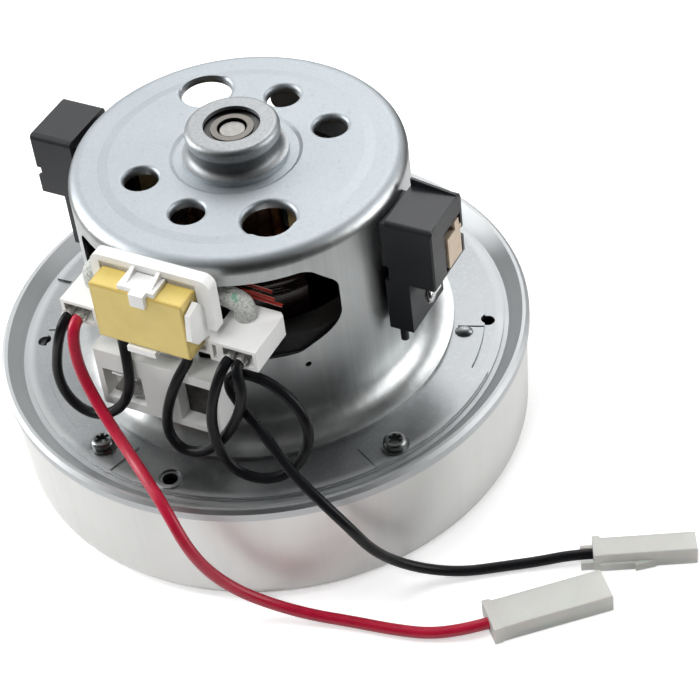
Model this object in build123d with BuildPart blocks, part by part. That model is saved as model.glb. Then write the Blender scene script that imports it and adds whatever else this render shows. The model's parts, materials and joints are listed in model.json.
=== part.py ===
from build123d import *
from math import asin, cos, degrees, pi, radians, sin, tan
import os

os.makedirs("parts", exist_ok=True)

# Clearances and the overrun of cuts
seat_gap = 0.1
slide_gap = 0.25
part_gap = 0.3
film_gap = 0.01
overrun = 5.0
half_turn = 180
full_turn = 360

# Sheet metal
cover_wall = 0.8
plate_wall = 1.0
can_wall = 1.0

# Motor can, its cap, boss and windows
can_radius = 41.0
can_top_z = 85.6
can_edge_radius = 3.3
cap_rise = 0.3
cap_rise_width = 2.5
cap_rise_inset = 10.0
cap_rise_radius = can_radius - cap_rise_inset
foot_width = 7.5
foot_radius = can_radius + foot_width
foot_flare = 6.6
boss_radius = 11.45
boss_waist = 10.75
boss_height = 8.7
boss_top_z = can_top_z + boss_height
boss_edge = 1.4
boss_opening = 6.9
boss_foot_radius = 12.9
boss_foot_height = 1.0
groove_radius = 15.2
groove_depth = 0.45
window_left_x = -25.8
window_right_x = 36.0
window_low_z = 56.8
window_dip_x = 29.0
window_dip_z = 55.4
window_top_z = 79.3
window_slant_x = 32.0
window_slant_z = 72.4
window_corner = 3.2
window_round = 7.0
rear_window_foot_x = 1.0
rear_window_slant_x = 13.0
rear_window_slant_z = 70.0
large_hole_radius = 6.4
large_hole_circle = 27.1
large_hole_angles = (135, -45)
small_hole_radius = 4.25
small_hole_circle = 23.7
small_hole_angles = (90, 45, -90, -135)
hole_lip = 0.9
hole_lip_depth = 2.3
hole_lip_round = 1.0
punch_radius = 0.75
punch_angle = -43
punch_z = 51.1

# Fan cover, a drawn cup with its inlet in the floor
drum_overhang = 25.0
cover_foot_radius = can_radius + drum_overhang
cover_taper = 0.9
cover_top_radius = cover_foot_radius + cover_taper
cover_corner = 4.0
cover_top_z = 31.2
inlet_radius = 17.0
inlet_lip_radius = 3.0
inlet_collar = 1.5

# Bracket plate, its hem, gutter and raised land
hem_wall = 0.5
hem_radius = cover_top_radius + seat_gap + hem_wall
hem_drop = 3.0
bead_top_z = 32.4
bead_width = 1.7
slope_width = 3.6
slope_foot_radius = hem_radius - bead_width - slope_width
gutter_floor_z = 28.8
gutter_width = 1.2
gutter_edge_radius = slope_foot_radius - gutter_width
ring_top_z = 29.8
land_top_z = 30.4
land_low_inset = 4.7
land_low_radius = gutter_edge_radius - land_low_inset
land_high_radius = gutter_edge_radius - part_gap
land_lobe_start = -117
land_lobe_end = 4
plate_window_inner = 17.0
plate_window_inset = 5.0
plate_window_outer = can_radius - plate_window_inset
plate_window_span = 66
plate_window_count = 4

# Small features of the plate
screw_near_inset = 7.0
screw_far_inset = 9.0
screw_near_angles = (-106.7, 73.3)
screw_far_angles = (-28.4, 151.6)
screw_spots = [(foot_radius + screw_near_inset, angle) for angle in screw_near_angles]
screw_spots += [(foot_radius + screw_far_inset, angle) for angle in screw_far_angles]
screw_head_radius = 2.9
screw_head_height = 2.3
screw_head_round = 1.0
screw_washer_radius = 3.5
screw_washer_height = 0.5
screw_shank_radius = 1.45
screw_drive_radius = 1.75
screw_drive_width = 0.95
screw_drive_bars = 3
screw_drive_depth = 1.2
screw_length = 9.0
pad_length = 15.0
pad_width = 10.0
pad_height = 0.3
plate_hole_radius = 1.75
plate_hole_offset = 8.5
plate_hole_angles = (22.4, -153)
dimple_radius = 1.75
dimple_height = 1.1
dimple_offset = 2.9
dimple_angles = (17.2, -159)
slit_start = 1.1
slit_length = 6.6
slit_width = 0.5
slit_angles = (19.5, -156.5)
eyelet_radius = 3.4
eyelet_wall = 0.7
eyelet_height = 0.5
eyelet_hole = 1.9
eyelet_angles = (-85, 95)

# Shaft and its two standard bearings of 7 x 19 x 6 mm
shaft_radius = 3.5
shaft_chamfer = 0.5
shaft_inset = 1.7
shaft_top_z = boss_top_z - shaft_inset
shaft_bottom_z = 5.8
bearing_radius = 9.5
bearing_height = 6.0
bearing_inner_radius = 5.2
bearing_outer_bore = 7.9
bearing_shield_inset = 0.4
upper_bearing_z = boss_top_z - can_wall - bearing_height - seat_gap / 2
lower_bearing_z = 24.25
washer_thickness = 0.35

# Wound stator
core_low_z = 42.0
core_high_z = 60.0
core_bore = 22.3
shoe_radius = 25.4
yoke_radius = 33.6
pole_half_width = 13.5
shoe_half_angle = 57
coil_half_angle = 55
coil_inner_radius = 25.8
coil_outer_radius = 33.0
coil_low_z = 33.4
coil_high_z = 69.4
coil_round = 2.2

# Armature and commutator
armature_radius = 21.6
armature_slots = 12
slot_opening = 2.2
slot_inner_radius = 11.0
slot_outer_radius = 18.6
slot_width = 4.6
winding_radius = 19.4
winding_inner = 7.5
winding_low_z = 34.4
winding_high_z = 65.4
commutator_radius = 13.0
commutator_low_z = 66.6
commutator_high_z = 81.0
commutator_bars = 24
riser_radius = 14.2
riser_height = 2.0
bar_slot = 0.6
bar_depth = 1.0
hub_radius = 10.0

# Brush gear on the two sides of the can
holder_inner_x = 43.0
holder_outer_x = 55.0
holder_half_width = 8.3
holder_low_z = 65.0
holder_high_z = 82.7
holder_round = 1.3
holder_edge = 0.4
fin_thickness = 0.7
fin_high = 2.0
fin_low = 0.3
recess_depth = 1.2
recess_low_y = -1.9
recess_high_y = 7.0
recess_low_z = 66.0
recess_high_z = 77.6
leg_inner_x = 41.8
leg_outer_x = 48.1
leg_low_z = 50.0
peg_radius = 1.0
peg_x = 44.8
peg_y = -7.0
peg_low_z = 46.2
sleeve_inner_x = 27.0
sleeve_half_width = 6.4
sleeve_low_z = 67.4
sleeve_high_z = 80.6
tube_inner_x = 14.6
tube_half_width = 4.1
tube_low_z = 68.6
tube_high_z = 79.0
tube_wall = 0.5
brush_length = 23.0
spring_wire = 0.6
spring_radius = 2.9
spring_turns = 8
spring_sides = 6
clip_proud = 0.25
clip_low_y = -0.7
clip_high_y = 6.0
clip_low_z = 66.4
clip_high_z = 75.0
clip_finger_width = 2.0
clip_finger_inset = 0.6
clip_finger_top_z = 77.2
clip_bead_radius = 0.9
solder_tab_x = 50.6
solder_tab_low_y = -4.8
solder_tab_high_y = 1.2
solder_tab_thickness = 0.8
solder_tab_length = 7.0
notch_depth = 1.5
notch_width = 2.4
notch_low_z = 69.9
notch_high_z = 72.8

# Capacitor and its moulded clip
capacitor_left_x = -11.3
capacitor_right_x = 13.5
capacitor_front_y = -50.7
capacitor_back_y = -43.9
capacitor_low_z = 66.5
capacitor_high_z = 82.8
capacitor_round = 0.5
frame_left_x = -14.0
frame_right_x = 17.6
frame_front_y = -44.7
frame_back_y = -41.5
frame_top_z = 86.4
frame_corner = 2.6
pocket_top_z = 84.5
pocket_gap = 0.35
arm_wall = 1.4
arm_foot_z = 71.9
arm_outline = ((-44.7, 79.0), (-46.6, 81.6), (-50.4, 80.4), (-51.4, 73.6), (-49.1, 70.9), (-44.7, 70.0))
top_clip_left_x = -3.5
top_clip_right_x = 6.2
top_clip_hook_left_x = 0.6
top_clip_hook_right_x = 4.4
top_clip_hook_drop = 2.2
top_clip_rib = 1.0
foot_clip_left_x = -3.4
foot_clip_right_x = 4.2
wing_front_y = -46.0
wing_back_y = -31.5
wing_low_z = 63.8
wing_high_z = 69.7
left_wing_outer_x = -24.6
right_wing_inner_x = 15.6
right_wing_outer_x = 28.0
wing_chamfer = 1.0
socket_wall = 0.9
socket_depth = 5.0
saddle_gap = 0.4
saddle_inner_radius = can_radius + saddle_gap
saddle_wall = 1.8
saddle_half_angle = 25

# Terminal block under the capacitor
block_left_x = -18.0
block_right_x = 15.2
block_front_y = -47.0
block_low_z = 39.3
block_high_z = 57.0
block_round = 0.8
left_socket_x = (-16.0, -5.1)
left_socket_z = (42.0, 51.2)
right_socket_x = (4.6, 14.2)
right_socket_z = (41.0, 54.2)
block_socket_depth = 4.6
tab_thickness = 0.8
tab_inset = 1.6
neck_share = 0.5
tab_height = 3.4

# Wires and what they end in
red_diameter = 2.9
black_diameter = 2.6
barrel_diameter = 2.0
left_jumper_x = -22.5
red_exit_x = -19.7
black_exit_x = 21.0
right_jumper_x = 23.8
left_exit_z = 65.9
right_exit_z = 66.3
sleeve_diameter = 5.2
connector_wall = 0.9
connector_height = 5.0
connector_lip = 0.3
connector_lip_length = 2.0
connector_bore_start = 4.0
red_connector_place = (82.5, -48.0)
red_connector_angle = 42.5
red_connector_length = 29.6
red_connector_width = 9.0
black_connector_place = (97.0, -18.8)
black_connector_angle = 27.0
black_connector_length = 24.9
black_connector_width = 5.8
cheek_reach = 3.0
cheek_thickness = 0.8
latch_width = 1.3
latch_height = 2.2
latch_start_share = 0.06
latch_end_share = 0.6
latch_barb_share = 0.4
contact_thickness = 0.8
contact_start_share = 0.2
contact_end_share = 0.72

# Impeller, diffuser and what holds them on the shaft
fan_side_gap = 8.0
impeller_radius = cover_foot_radius - fan_side_gap
impeller_plate = 1.0
impeller_plate_z = 13.2
impeller_eye = 19.4
impeller_eye_z = 2.4
shroud_wall = 0.8
shroud_rim_z = 5.8
eye_round = 4.0
blade_count = 9
blade_thickness = 0.8
blade_inner_radius = 21.0
blade_sweep = 62
blade_bow_share = 0.36
nut_half_flats = 5.5
nut_height = 5.0
washer_radius = 8.5
fan_washer = 1.2
spacer_radius = 5.8
diffuser_side_gap = 4.0
diffuser_radius = cover_foot_radius - diffuser_side_gap
diffuser_plate_z = 15.6
diffuser_plate = 1.2
diffuser_bore = 13.4
vane_count = 11
vane_thickness = 1.2
vane_inner_radius = 31.0
vane_sweep = 48
screw_post_radius = 3.2


def xy(radius, angle):
    """A point in plan at a radius and an angle in degrees."""
    return (radius * cos(radians(angle)), radius * sin(radians(angle)))


def save(node, name):
    """Labels a finished piece and writes its file."""
    node.part.label = name
    export_step(node.part, "parts/" + name + ".step")


def block(x_range, y_range, z_range):
    """An upright block between two places on each axis, for use inside a part."""
    corner = (min(x_range), min(y_range), min(z_range))
    sides = [abs(pair[1] - pair[0]) for pair in (x_range, y_range, z_range)]
    with Locations(corner):
        Box(sides[0], sides[1], sides[2], align=(Align.MIN, Align.MIN, Align.MIN))


def cut_block(x_range, y_range, z_range):
    """The same block taken away."""
    corner = (min(x_range), min(y_range), min(z_range))
    sides = [abs(pair[1] - pair[0]) for pair in (x_range, y_range, z_range)]
    with Locations(corner):
        Box(sides[0], sides[1], sides[2], align=(Align.MIN, Align.MIN, Align.MIN), mode=Mode.SUBTRACT)


def turned(outer_radius, inner_radius, low_z, high_z):
    """A ring with flat ends about the shaft's axis."""
    with BuildSketch(Plane.XY.offset(low_z)) as ring:
        Circle(outer_radius)
        if inner_radius > 0:
            Circle(inner_radius, mode=Mode.SUBTRACT)
    extrude(ring.sketch, amount=high_z - low_z)


# Fan cover
inlet_top_z = inlet_lip_radius + inlet_collar
with BuildPart() as fan_cover:
    with BuildSketch(Plane.XZ):
        with BuildLine():
            foot = Line((inlet_radius + inlet_lip_radius, 0), (cover_foot_radius - cover_corner, 0))
            corner = RadiusArc(foot @ 1, (cover_foot_radius, cover_corner), -cover_corner)
            wall = Line(corner @ 1, (cover_top_radius, cover_top_z))
            rim = Line(wall @ 1, (cover_top_radius - cover_wall, cover_top_z))
            inside = Line(rim @ 1, (cover_foot_radius - cover_wall, cover_corner))
            inner_corner = RadiusArc(
                inside @ 1, (cover_foot_radius - cover_corner, cover_wall), cover_corner - cover_wall
            )
            floor = Line(inner_corner @ 1, (inlet_radius + inlet_lip_radius, cover_wall))
            lip_inside = RadiusArc(
                floor @ 1,
                (inlet_radius + cover_wall, inlet_lip_radius),
                inlet_lip_radius - cover_wall,
            )
            collar_inside = Line(lip_inside @ 1, (inlet_radius + cover_wall, inlet_top_z))
            collar_edge = Line(collar_inside @ 1, (inlet_radius, inlet_top_z))
            collar = Line(collar_edge @ 1, (inlet_radius, inlet_lip_radius))
            RadiusArc(collar @ 1, foot @ 0, -inlet_lip_radius)
        make_face()
    revolve(axis=Axis.Z)
save(fan_cover, "fan_cover")

# Bracket plate with its bearing cup
cup_radius = bearing_radius + seat_gap + plate_wall
cup_floor_z = lower_bearing_z - plate_wall
plate_hole_circle = foot_radius + plate_hole_offset
dimple_circle = foot_radius + dimple_offset
eyelet_circle = land_high_radius - part_gap - eyelet_radius
with BuildPart() as fan_bracket:
    with BuildSketch(Plane.XZ):
        with BuildLine():
            Polyline(
                (hem_radius, bead_top_z - hem_drop),
                (hem_radius, bead_top_z - bead_width / 2),
                (hem_radius - bead_width / 2, bead_top_z),
                (hem_radius - bead_width, bead_top_z),
                (slope_foot_radius, gutter_floor_z + plate_wall / 2),
                (gutter_edge_radius, gutter_floor_z + plate_wall / 2),
                (gutter_edge_radius, ring_top_z),
                (bearing_radius, ring_top_z),
                (bearing_radius, ring_top_z - plate_wall),
                (gutter_edge_radius - plate_wall, ring_top_z - plate_wall),
                (gutter_edge_radius, gutter_floor_z - plate_wall / 2),
                (slope_foot_radius, gutter_floor_z - plate_wall / 2),
                (cover_top_radius - cover_wall, cover_top_z + seat_gap),
                (cover_top_radius + seat_gap, cover_top_z + seat_gap),
                (cover_top_radius + seat_gap, bead_top_z - hem_drop),
                close=True,
            )
        make_face()
    revolve(axis=Axis.Z)
    with BuildSketch(Plane.XY.offset(ring_top_z)):
        Circle(land_low_radius)
        for start in (land_lobe_start, land_lobe_start + half_turn):
            span = land_lobe_end - land_lobe_start
            with BuildLine():
                outer = CenterArc((0, 0), land_high_radius, start, span)
                Line(outer @ 1, (0, 0))
                Line((0, 0), outer @ 0)
            make_face()
    extrude(amount=land_top_z - ring_top_z)
    turned(cup_radius, 0, cup_floor_z, ring_top_z)
    for radius, angle in screw_spots:
        spot = xy(radius, angle)
        with BuildSketch(Plane.XY.offset(ring_top_z)):
            Circle(land_high_radius - seat_gap)
            with Locations(Location((spot[0], spot[1], 0), (0, 0, angle))):
                Rectangle(pad_width, pad_length, mode=Mode.INTERSECT)
        extrude(amount=land_top_z + pad_height - ring_top_z)
    for angle in eyelet_angles:
        with Locations((*xy(eyelet_circle, angle), ring_top_z)):
            Cylinder(
                eyelet_radius,
                land_top_z + eyelet_height - ring_top_z,
                align=(Align.CENTER, Align.CENTER, Align.MIN),
            )
        with Locations((*xy(eyelet_circle, angle), land_top_z)):
            Cylinder(
                eyelet_radius - eyelet_wall,
                overrun,
                align=(Align.CENTER, Align.CENTER, Align.MIN),
                mode=Mode.SUBTRACT,
            )
    with BuildSketch(Plane.XY.offset(lower_bearing_z)):
        Circle(bearing_radius + seat_gap)
    extrude(amount=land_top_z + overrun - lower_bearing_z, mode=Mode.SUBTRACT)
    with BuildSketch(Plane.XY.offset(cup_floor_z - overrun)):
        Circle(bearing_outer_bore)
    extrude(amount=2 * overrun, mode=Mode.SUBTRACT)
    with BuildSketch(Plane.XY.offset(ring_top_z - overrun)):
        with PolarLocations(0, plate_window_count, start_angle=full_turn / (2 * plate_window_count)):
            with BuildLine():
                outer = CenterArc((0, 0), plate_window_outer, -plate_window_span / 2, plate_window_span)
                inner = CenterArc((0, 0), plate_window_inner, -plate_window_span / 2, plate_window_span)
                Line(outer @ 0, inner @ 0)
                Line(outer @ 1, inner @ 1)
            make_face()
        with Locations([xy(plate_hole_circle, angle) for angle in plate_hole_angles]):
            Circle(plate_hole_radius)
        with Locations([xy(radius, angle) for radius, angle in screw_spots]):
            Circle(screw_shank_radius + slide_gap)
        for angle in slit_angles:
            middle = xy(foot_radius + slit_start + slit_length / 2, angle)
            with Locations(Location((middle[0], middle[1], 0), (0, 0, angle))):
                Rectangle(slit_length, slit_width)
        with Locations([xy(eyelet_circle, angle) for angle in eyelet_angles]):
            Circle(eyelet_hole)
    extrude(amount=2 * overrun, mode=Mode.SUBTRACT)
    with Locations([(*xy(dimple_circle, angle), land_top_z) for angle in dimple_angles]):
        Cone(dimple_radius, dimple_radius / 2, dimple_height, align=(Align.CENTER, Align.CENTER, Align.MIN))
save(fan_bracket, "fan_bracket")

# Screws that hold the diffuser up against the bracket, each with a washer and a six lobed recess
screw_floor_z = land_top_z + pad_height
screw_top_z = screw_floor_z + screw_head_height
upright = (Align.CENTER, Align.CENTER, Align.MIN)
with BuildPart() as bracket_screws:
    with Locations([(*xy(radius, angle), screw_floor_z) for radius, angle in screw_spots]):
        Cylinder(screw_head_radius, screw_head_height, align=upright)
    fillet(
        bracket_screws.edges().filter_by(GeomType.CIRCLE).group_by(Axis.Z)[-1],
        radius=screw_head_round,
    )
    with Locations([(*xy(radius, angle), screw_floor_z) for radius, angle in screw_spots]):
        Cylinder(screw_washer_radius, screw_washer_height, align=upright)
        Cylinder(screw_shank_radius, screw_length, align=(Align.CENTER, Align.CENTER, Align.MAX))
    for radius, angle in screw_spots:
        with BuildSketch(Plane.XY.offset(screw_top_z - screw_drive_depth)):
            with Locations(xy(radius, angle)):
                for bar in range(screw_drive_bars):
                    Rectangle(
                        2 * screw_drive_radius, screw_drive_width, rotation=bar * half_turn / screw_drive_bars
                    )
        extrude(amount=overrun, mode=Mode.SUBTRACT)
save(bracket_screws, "bracket_screws")


def swept_strip(inner_radius, outer_radius, sweep, thickness, start):
    """A curved blade in plan, from one radius to another, for use inside a sketch."""
    inner = Vector(*xy(inner_radius, start))
    outer = Vector(*xy(outer_radius, start + sweep))
    middle_radius = (inner_radius + outer_radius) / 2
    middle = Vector(*xy(middle_radius, start + sweep * blade_bow_share))
    with BuildLine() as outline:
        centre = ThreePointArc(inner, middle, outer)
        offset(centre, amount=thickness / 2, side=Side.BOTH, mode=Mode.REPLACE)
    make_face(outline.line.edges())


# Impeller, a back plate, swept blades and a shroud riveted together
with BuildPart() as impeller_back:
    turned(impeller_radius, shaft_radius + film_gap, impeller_plate_z, impeller_plate_z + impeller_plate)
save(impeller_back, "impeller_back")

with BuildPart() as impeller_shroud:
    with BuildSketch(Plane.XZ):
        with BuildLine():
            Polyline(
                (impeller_radius, shroud_rim_z),
                (impeller_radius, shroud_rim_z - shroud_wall),
                (impeller_eye + eye_round, impeller_eye_z),
                (impeller_eye, impeller_eye_z - shroud_wall),
                (impeller_eye - shroud_wall, impeller_eye_z),
                (impeller_eye + eye_round / 2, impeller_eye_z + shroud_wall),
                close=True,
            )
        make_face()
    revolve(axis=Axis.Z)
save(impeller_shroud, "impeller_shroud")

with BuildPart() as impeller_blades:
    with BuildSketch(Plane.XY.offset(impeller_eye_z)):
        for number in range(blade_count):
            swept_strip(
                blade_inner_radius + eye_round,
                impeller_radius - blade_thickness,
                -blade_sweep,
                blade_thickness,
                number * full_turn / blade_count,
            )
    extrude(amount=impeller_plate_z - impeller_eye_z)
    with BuildSketch(Plane.XZ):
        with BuildLine():
            Polyline(
                (impeller_radius, shroud_rim_z),
                (impeller_eye + eye_round / 2, impeller_eye_z + shroud_wall),
                (shaft_radius, impeller_eye_z + shroud_wall),
                (shaft_radius, -overrun),
                (impeller_radius + overrun, -overrun),
                (impeller_radius + overrun, shroud_rim_z),
                close=True,
            )
        make_face()
    revolve(axis=Axis.Z, mode=Mode.SUBTRACT)
save(impeller_blades, "impeller_blades")

with BuildPart() as impeller_nut:
    with BuildSketch(Plane.XY.offset(impeller_plate_z - fan_washer - nut_height)):
        RegularPolygon(nut_half_flats, 6, major_radius=False)
        Circle(shaft_radius + seat_gap / 2, mode=Mode.SUBTRACT)
    extrude(amount=nut_height)
save(impeller_nut, "impeller_nut")

with BuildPart() as impeller_washers:
    turned(washer_radius, shaft_radius + film_gap, impeller_plate_z - fan_washer, impeller_plate_z)
    turned(
        washer_radius,
        shaft_radius + seat_gap / 2,
        impeller_plate_z + impeller_plate,
        impeller_plate_z + impeller_plate + fan_washer,
    )
save(impeller_washers, "impeller_washers")

with BuildPart() as fan_spacer:
    turned(
        spacer_radius,
        shaft_radius + seat_gap / 2,
        impeller_plate_z + impeller_plate + fan_washer,
        lower_bearing_z,
    )
save(fan_spacer, "fan_spacer")

# Diffuser, whose vanes turn the air back inwards over its plate
vane_top_z = ring_top_z - plate_wall
with BuildPart() as diffuser:
    turned(diffuser_radius, diffuser_bore, diffuser_plate_z, diffuser_plate_z + diffuser_plate)
    with BuildSketch(Plane.XY.offset(diffuser_plate_z)):
        for number in range(vane_count):
            swept_strip(
                vane_inner_radius,
                gutter_edge_radius - 2 * plate_wall,
                vane_sweep,
                vane_thickness,
                number * full_turn / vane_count,
            )
        with Locations([xy(radius, angle) for radius, angle in screw_spots]):
            Circle(screw_post_radius)
    extrude(amount=vane_top_z - diffuser_plate_z)
    turned(diffuser_bore + diffuser_plate, diffuser_bore, diffuser_plate_z, cup_floor_z)
    with Locations([(*xy(radius, angle), vane_top_z) for radius, angle in screw_spots]):
        Hole(screw_shank_radius + seat_gap / 2, depth=screw_length)
save(diffuser, "diffuser")

# Motor can
cap_z = can_top_z + cap_rise
boss_bore = bearing_radius + seat_gap / 2
can_bore = can_radius - can_wall
flare_z = land_top_z + can_wall + foot_flare
with BuildPart() as motor_can:
    with BuildSketch(Plane.XZ):
        with BuildLine():
            foot_top = Line((foot_radius, land_top_z), (foot_radius, land_top_z + can_wall))
            foot_flat = Line(foot_top @ 1, (can_radius + foot_flare, land_top_z + can_wall))
            flare = RadiusArc(foot_flat @ 1, (can_radius, flare_z), foot_flare)
            wall = Line(flare @ 1, (can_radius, can_top_z - can_edge_radius))
            edge = RadiusArc(wall @ 1, (can_radius - can_edge_radius, can_top_z), -can_edge_radius)
            ring = Line(edge @ 1, (cap_rise_radius + cap_rise_width, can_top_z))
            rise = Line(ring @ 1, (cap_rise_radius, cap_z))
            cap = Line(rise @ 1, (groove_radius + 2 * groove_depth, cap_z))
            groove = Line(cap @ 1, (groove_radius, cap_z - groove_depth))
            boss_foot = Line(groove @ 1, (boss_foot_radius, cap_z - groove_depth))
            boss_lip = Line(boss_foot @ 1, (boss_foot_radius, cap_z + boss_foot_height))
            boss_flare = RadiusArc(
                boss_lip @ 1,
                (boss_waist, cap_z + boss_foot_height + boss_foot_radius - boss_waist),
                boss_foot_radius - boss_waist,
            )
            waist = Line(boss_flare @ 1, (boss_waist, boss_top_z - 2 * boss_edge - can_wall / 2))
            swell = Line(waist @ 1, (boss_radius, boss_top_z - 2 * boss_edge))
            side = Line(swell @ 1, (boss_radius, boss_top_z - boss_edge))
            bead = RadiusArc(side @ 1, (boss_radius - boss_edge, boss_top_z), -boss_edge)
            top = Line(bead @ 1, (boss_opening, boss_top_z))
            mouth = Line(top @ 1, (boss_opening, boss_top_z - can_wall))
            seat = Line(mouth @ 1, (boss_bore, boss_top_z - can_wall))
            bore = Line(seat @ 1, (boss_bore, cap_z - groove_depth - can_wall))
            under = Line(bore @ 1, (groove_radius + can_wall, cap_z - groove_depth - can_wall))
            ceiling = Line(under @ 1, (cap_rise_radius, cap_z - groove_depth - can_wall))
            shoulder = Line(ceiling @ 1, (can_radius - can_edge_radius, can_top_z - can_wall))
            inner_edge = RadiusArc(
                shoulder @ 1, (can_bore, can_top_z - can_edge_radius), can_edge_radius - can_wall
            )
            inner_wall = Line(inner_edge @ 1, (can_bore, flare_z))
            inner_flare = RadiusArc(
                inner_wall @ 1, (can_radius + foot_flare, land_top_z), -(foot_flare + can_wall)
            )
            Line(inner_flare @ 1, foot_top @ 0)
        make_face()
    revolve(axis=Axis.Z)
    for spots, radius in (
        ([xy(large_hole_circle, angle) for angle in large_hole_angles], large_hole_radius),
        ([xy(small_hole_circle, angle) for angle in small_hole_angles], small_hole_radius),
    ):
        with Locations([(spot[0], spot[1], cap_z - can_wall / 2) for spot in spots]):
            Cylinder(
                radius + hole_lip,
                hole_lip_depth - can_wall / 2,
                align=(Align.CENTER, Align.CENTER, Align.MAX),
            )
            Cylinder(radius, 2 * (hole_lip_depth + overrun), mode=Mode.SUBTRACT)
    lips = motor_can.edges().filter_by(GeomType.CIRCLE).filter_by_position(Axis.Z, cap_z - seat_gap, cap_z)
    lip_edges = [
        lip for lip in lips if abs(lip.arc_center.X) + abs(lip.arc_center.Y) > boss_radius
    ]
    fillet(lip_edges, radius=hole_lip_round)
    for turn, window_edge in (
        (0, [(window_left_x, window_top_z), (window_left_x, window_low_z)]),
        (
            half_turn,
            [
                (rear_window_slant_x, window_top_z),
                (rear_window_slant_x, rear_window_slant_z),
                (rear_window_foot_x, window_low_z),
            ],
        ),
    ):
        face = Plane(origin=(0, 0, 0), x_dir=(cos(radians(turn)), 0, 0), z_dir=(0, -cos(radians(turn)), 0))
        with BuildSketch(face):
            with BuildLine():
                FilletPolyline(
                    *window_edge,
                    (window_dip_x, window_dip_z),
                    (window_right_x, window_low_z + window_corner),
                    (window_right_x, window_slant_z),
                    (window_slant_x, window_top_z),
                    radius=[window_corner] * (len(window_edge) + 1) + [window_round, window_round, window_corner],
                    close=True,
                )
            make_face()
        extrude(amount=can_radius + overrun, mode=Mode.SUBTRACT)
        side = cos(radians(turn))
        cut_block(
            (side * (can_radius - 2 * overrun), side * (can_radius + overrun)),
            (-sleeve_half_width - slide_gap, sleeve_half_width + slide_gap),
            (sleeve_low_z - slide_gap, sleeve_high_z + slide_gap),
        )
        spot = xy(can_radius, punch_angle + turn)
        aim = Plane(origin=(spot[0], spot[1], punch_z), z_dir=(spot[0], spot[1], 0))
        with BuildSketch(aim):
            Circle(punch_radius)
        extrude(amount=2 * can_wall, both=True, mode=Mode.SUBTRACT)
save(motor_can, "motor_can")

# Bearings, each an outer ring with its shields and an inner ring
bearing_seats = (lower_bearing_z, upper_bearing_z)
for name, seat_z in (("lower_bearing", lower_bearing_z), ("upper_bearing", upper_bearing_z)):
    with BuildPart() as outer_ring:
        with BuildSketch(Plane.XZ):
            with BuildLine():
                inset = bearing_shield_inset
                Polyline(
                    (bearing_radius, seat_z),
                    (bearing_radius, seat_z + bearing_height),
                    (bearing_outer_bore, seat_z + bearing_height),
                    (bearing_outer_bore, seat_z + bearing_height - inset),
                    (bearing_inner_radius + seat_gap, seat_z + bearing_height - inset),
                    (bearing_inner_radius + seat_gap, seat_z + inset),
                    (bearing_outer_bore, seat_z + inset),
                    (bearing_outer_bore, seat_z),
                    close=True,
                )
            make_face()
        revolve(axis=Axis.Z)
    save(outer_ring, name)

with BuildPart() as bearing_inner_rings:
    for seat_z in bearing_seats:
        turned(bearing_inner_radius, shaft_radius + film_gap, seat_z, seat_z + bearing_height)
save(bearing_inner_rings, "bearing_inner_rings")

washer_low_z = lower_bearing_z + bearing_height
with BuildPart() as preload_ring:
    turned(bearing_radius, bearing_outer_bore, washer_low_z, washer_low_z + washer_thickness)
save(preload_ring, "bearing_clip_ring")

# Shaft
with BuildPart() as shaft:
    turned(shaft_radius, 0, shaft_bottom_z, shaft_top_z)
    chamfer(shaft.edges().filter_by(GeomType.CIRCLE), length=shaft_chamfer)
save(shaft, "shaft")

# Stator laminations with two pole pieces
with BuildPart() as stator_core:
    with BuildSketch(Plane.XY.offset(core_low_z)):
        Circle(can_bore - seat_gap)
        Circle(yoke_radius, mode=Mode.SUBTRACT)
        Rectangle(2 * pole_half_width, 2 * (yoke_radius + can_wall))
        for middle in (half_turn / 2, -half_turn / 2):
            start = middle - shoe_half_angle
            with BuildLine():
                outer = CenterArc((0, 0), shoe_radius, start, 2 * shoe_half_angle)
                inner = CenterArc((0, 0), core_bore, start, 2 * shoe_half_angle)
                Line(outer @ 0, inner @ 0)
                Line(outer @ 1, inner @ 1)
            make_face()
        Circle(core_bore, mode=Mode.SUBTRACT)
    extrude(amount=core_high_z - core_low_z)
save(stator_core, "stator_core")

# Field coils, bent to follow the bore
for name, middle in (("field_coil_front", -half_turn / 2), ("field_coil_rear", half_turn / 2)):
    with BuildPart() as coil:
        with BuildSketch(Plane.XY.offset(coil_low_z)):
            with BuildLine():
                start = middle - coil_half_angle
                outer = CenterArc((0, 0), coil_outer_radius, start, 2 * coil_half_angle)
                inner = CenterArc((0, 0), coil_inner_radius, start, 2 * coil_half_angle)
                Line(outer @ 0, inner @ 0)
                Line(outer @ 1, inner @ 1)
            make_face()
        extrude(amount=coil_high_z - coil_low_z)
        fillet(
            coil.edges().filter_by(GeomType.CIRCLE).group_by(Axis.Z)[-1]
            + coil.edges().filter_by(GeomType.CIRCLE).group_by(Axis.Z)[0],
            radius=coil_round,
        )
        cut_block(
            (-pole_half_width - part_gap, pole_half_width + part_gap),
            (0, sin(radians(middle)) * (coil_outer_radius + overrun)),
            (core_low_z - part_gap, core_high_z + part_gap),
        )
    save(coil, name)

# Armature
with BuildPart() as armature_core:
    with BuildSketch(Plane.XY.offset(core_low_z)):
        Circle(armature_radius)
        Circle(shaft_radius + seat_gap / 2, mode=Mode.SUBTRACT)
        with PolarLocations((slot_inner_radius + armature_radius) / 2, armature_slots):
            Rectangle(armature_radius - slot_inner_radius + 2 * seat_gap, slot_opening, mode=Mode.SUBTRACT)
        with PolarLocations((slot_inner_radius + slot_outer_radius) / 2, armature_slots):
            Rectangle(slot_outer_radius - slot_inner_radius, slot_width, mode=Mode.SUBTRACT)
    extrude(amount=core_high_z - core_low_z)
save(armature_core, "armature_core")

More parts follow.
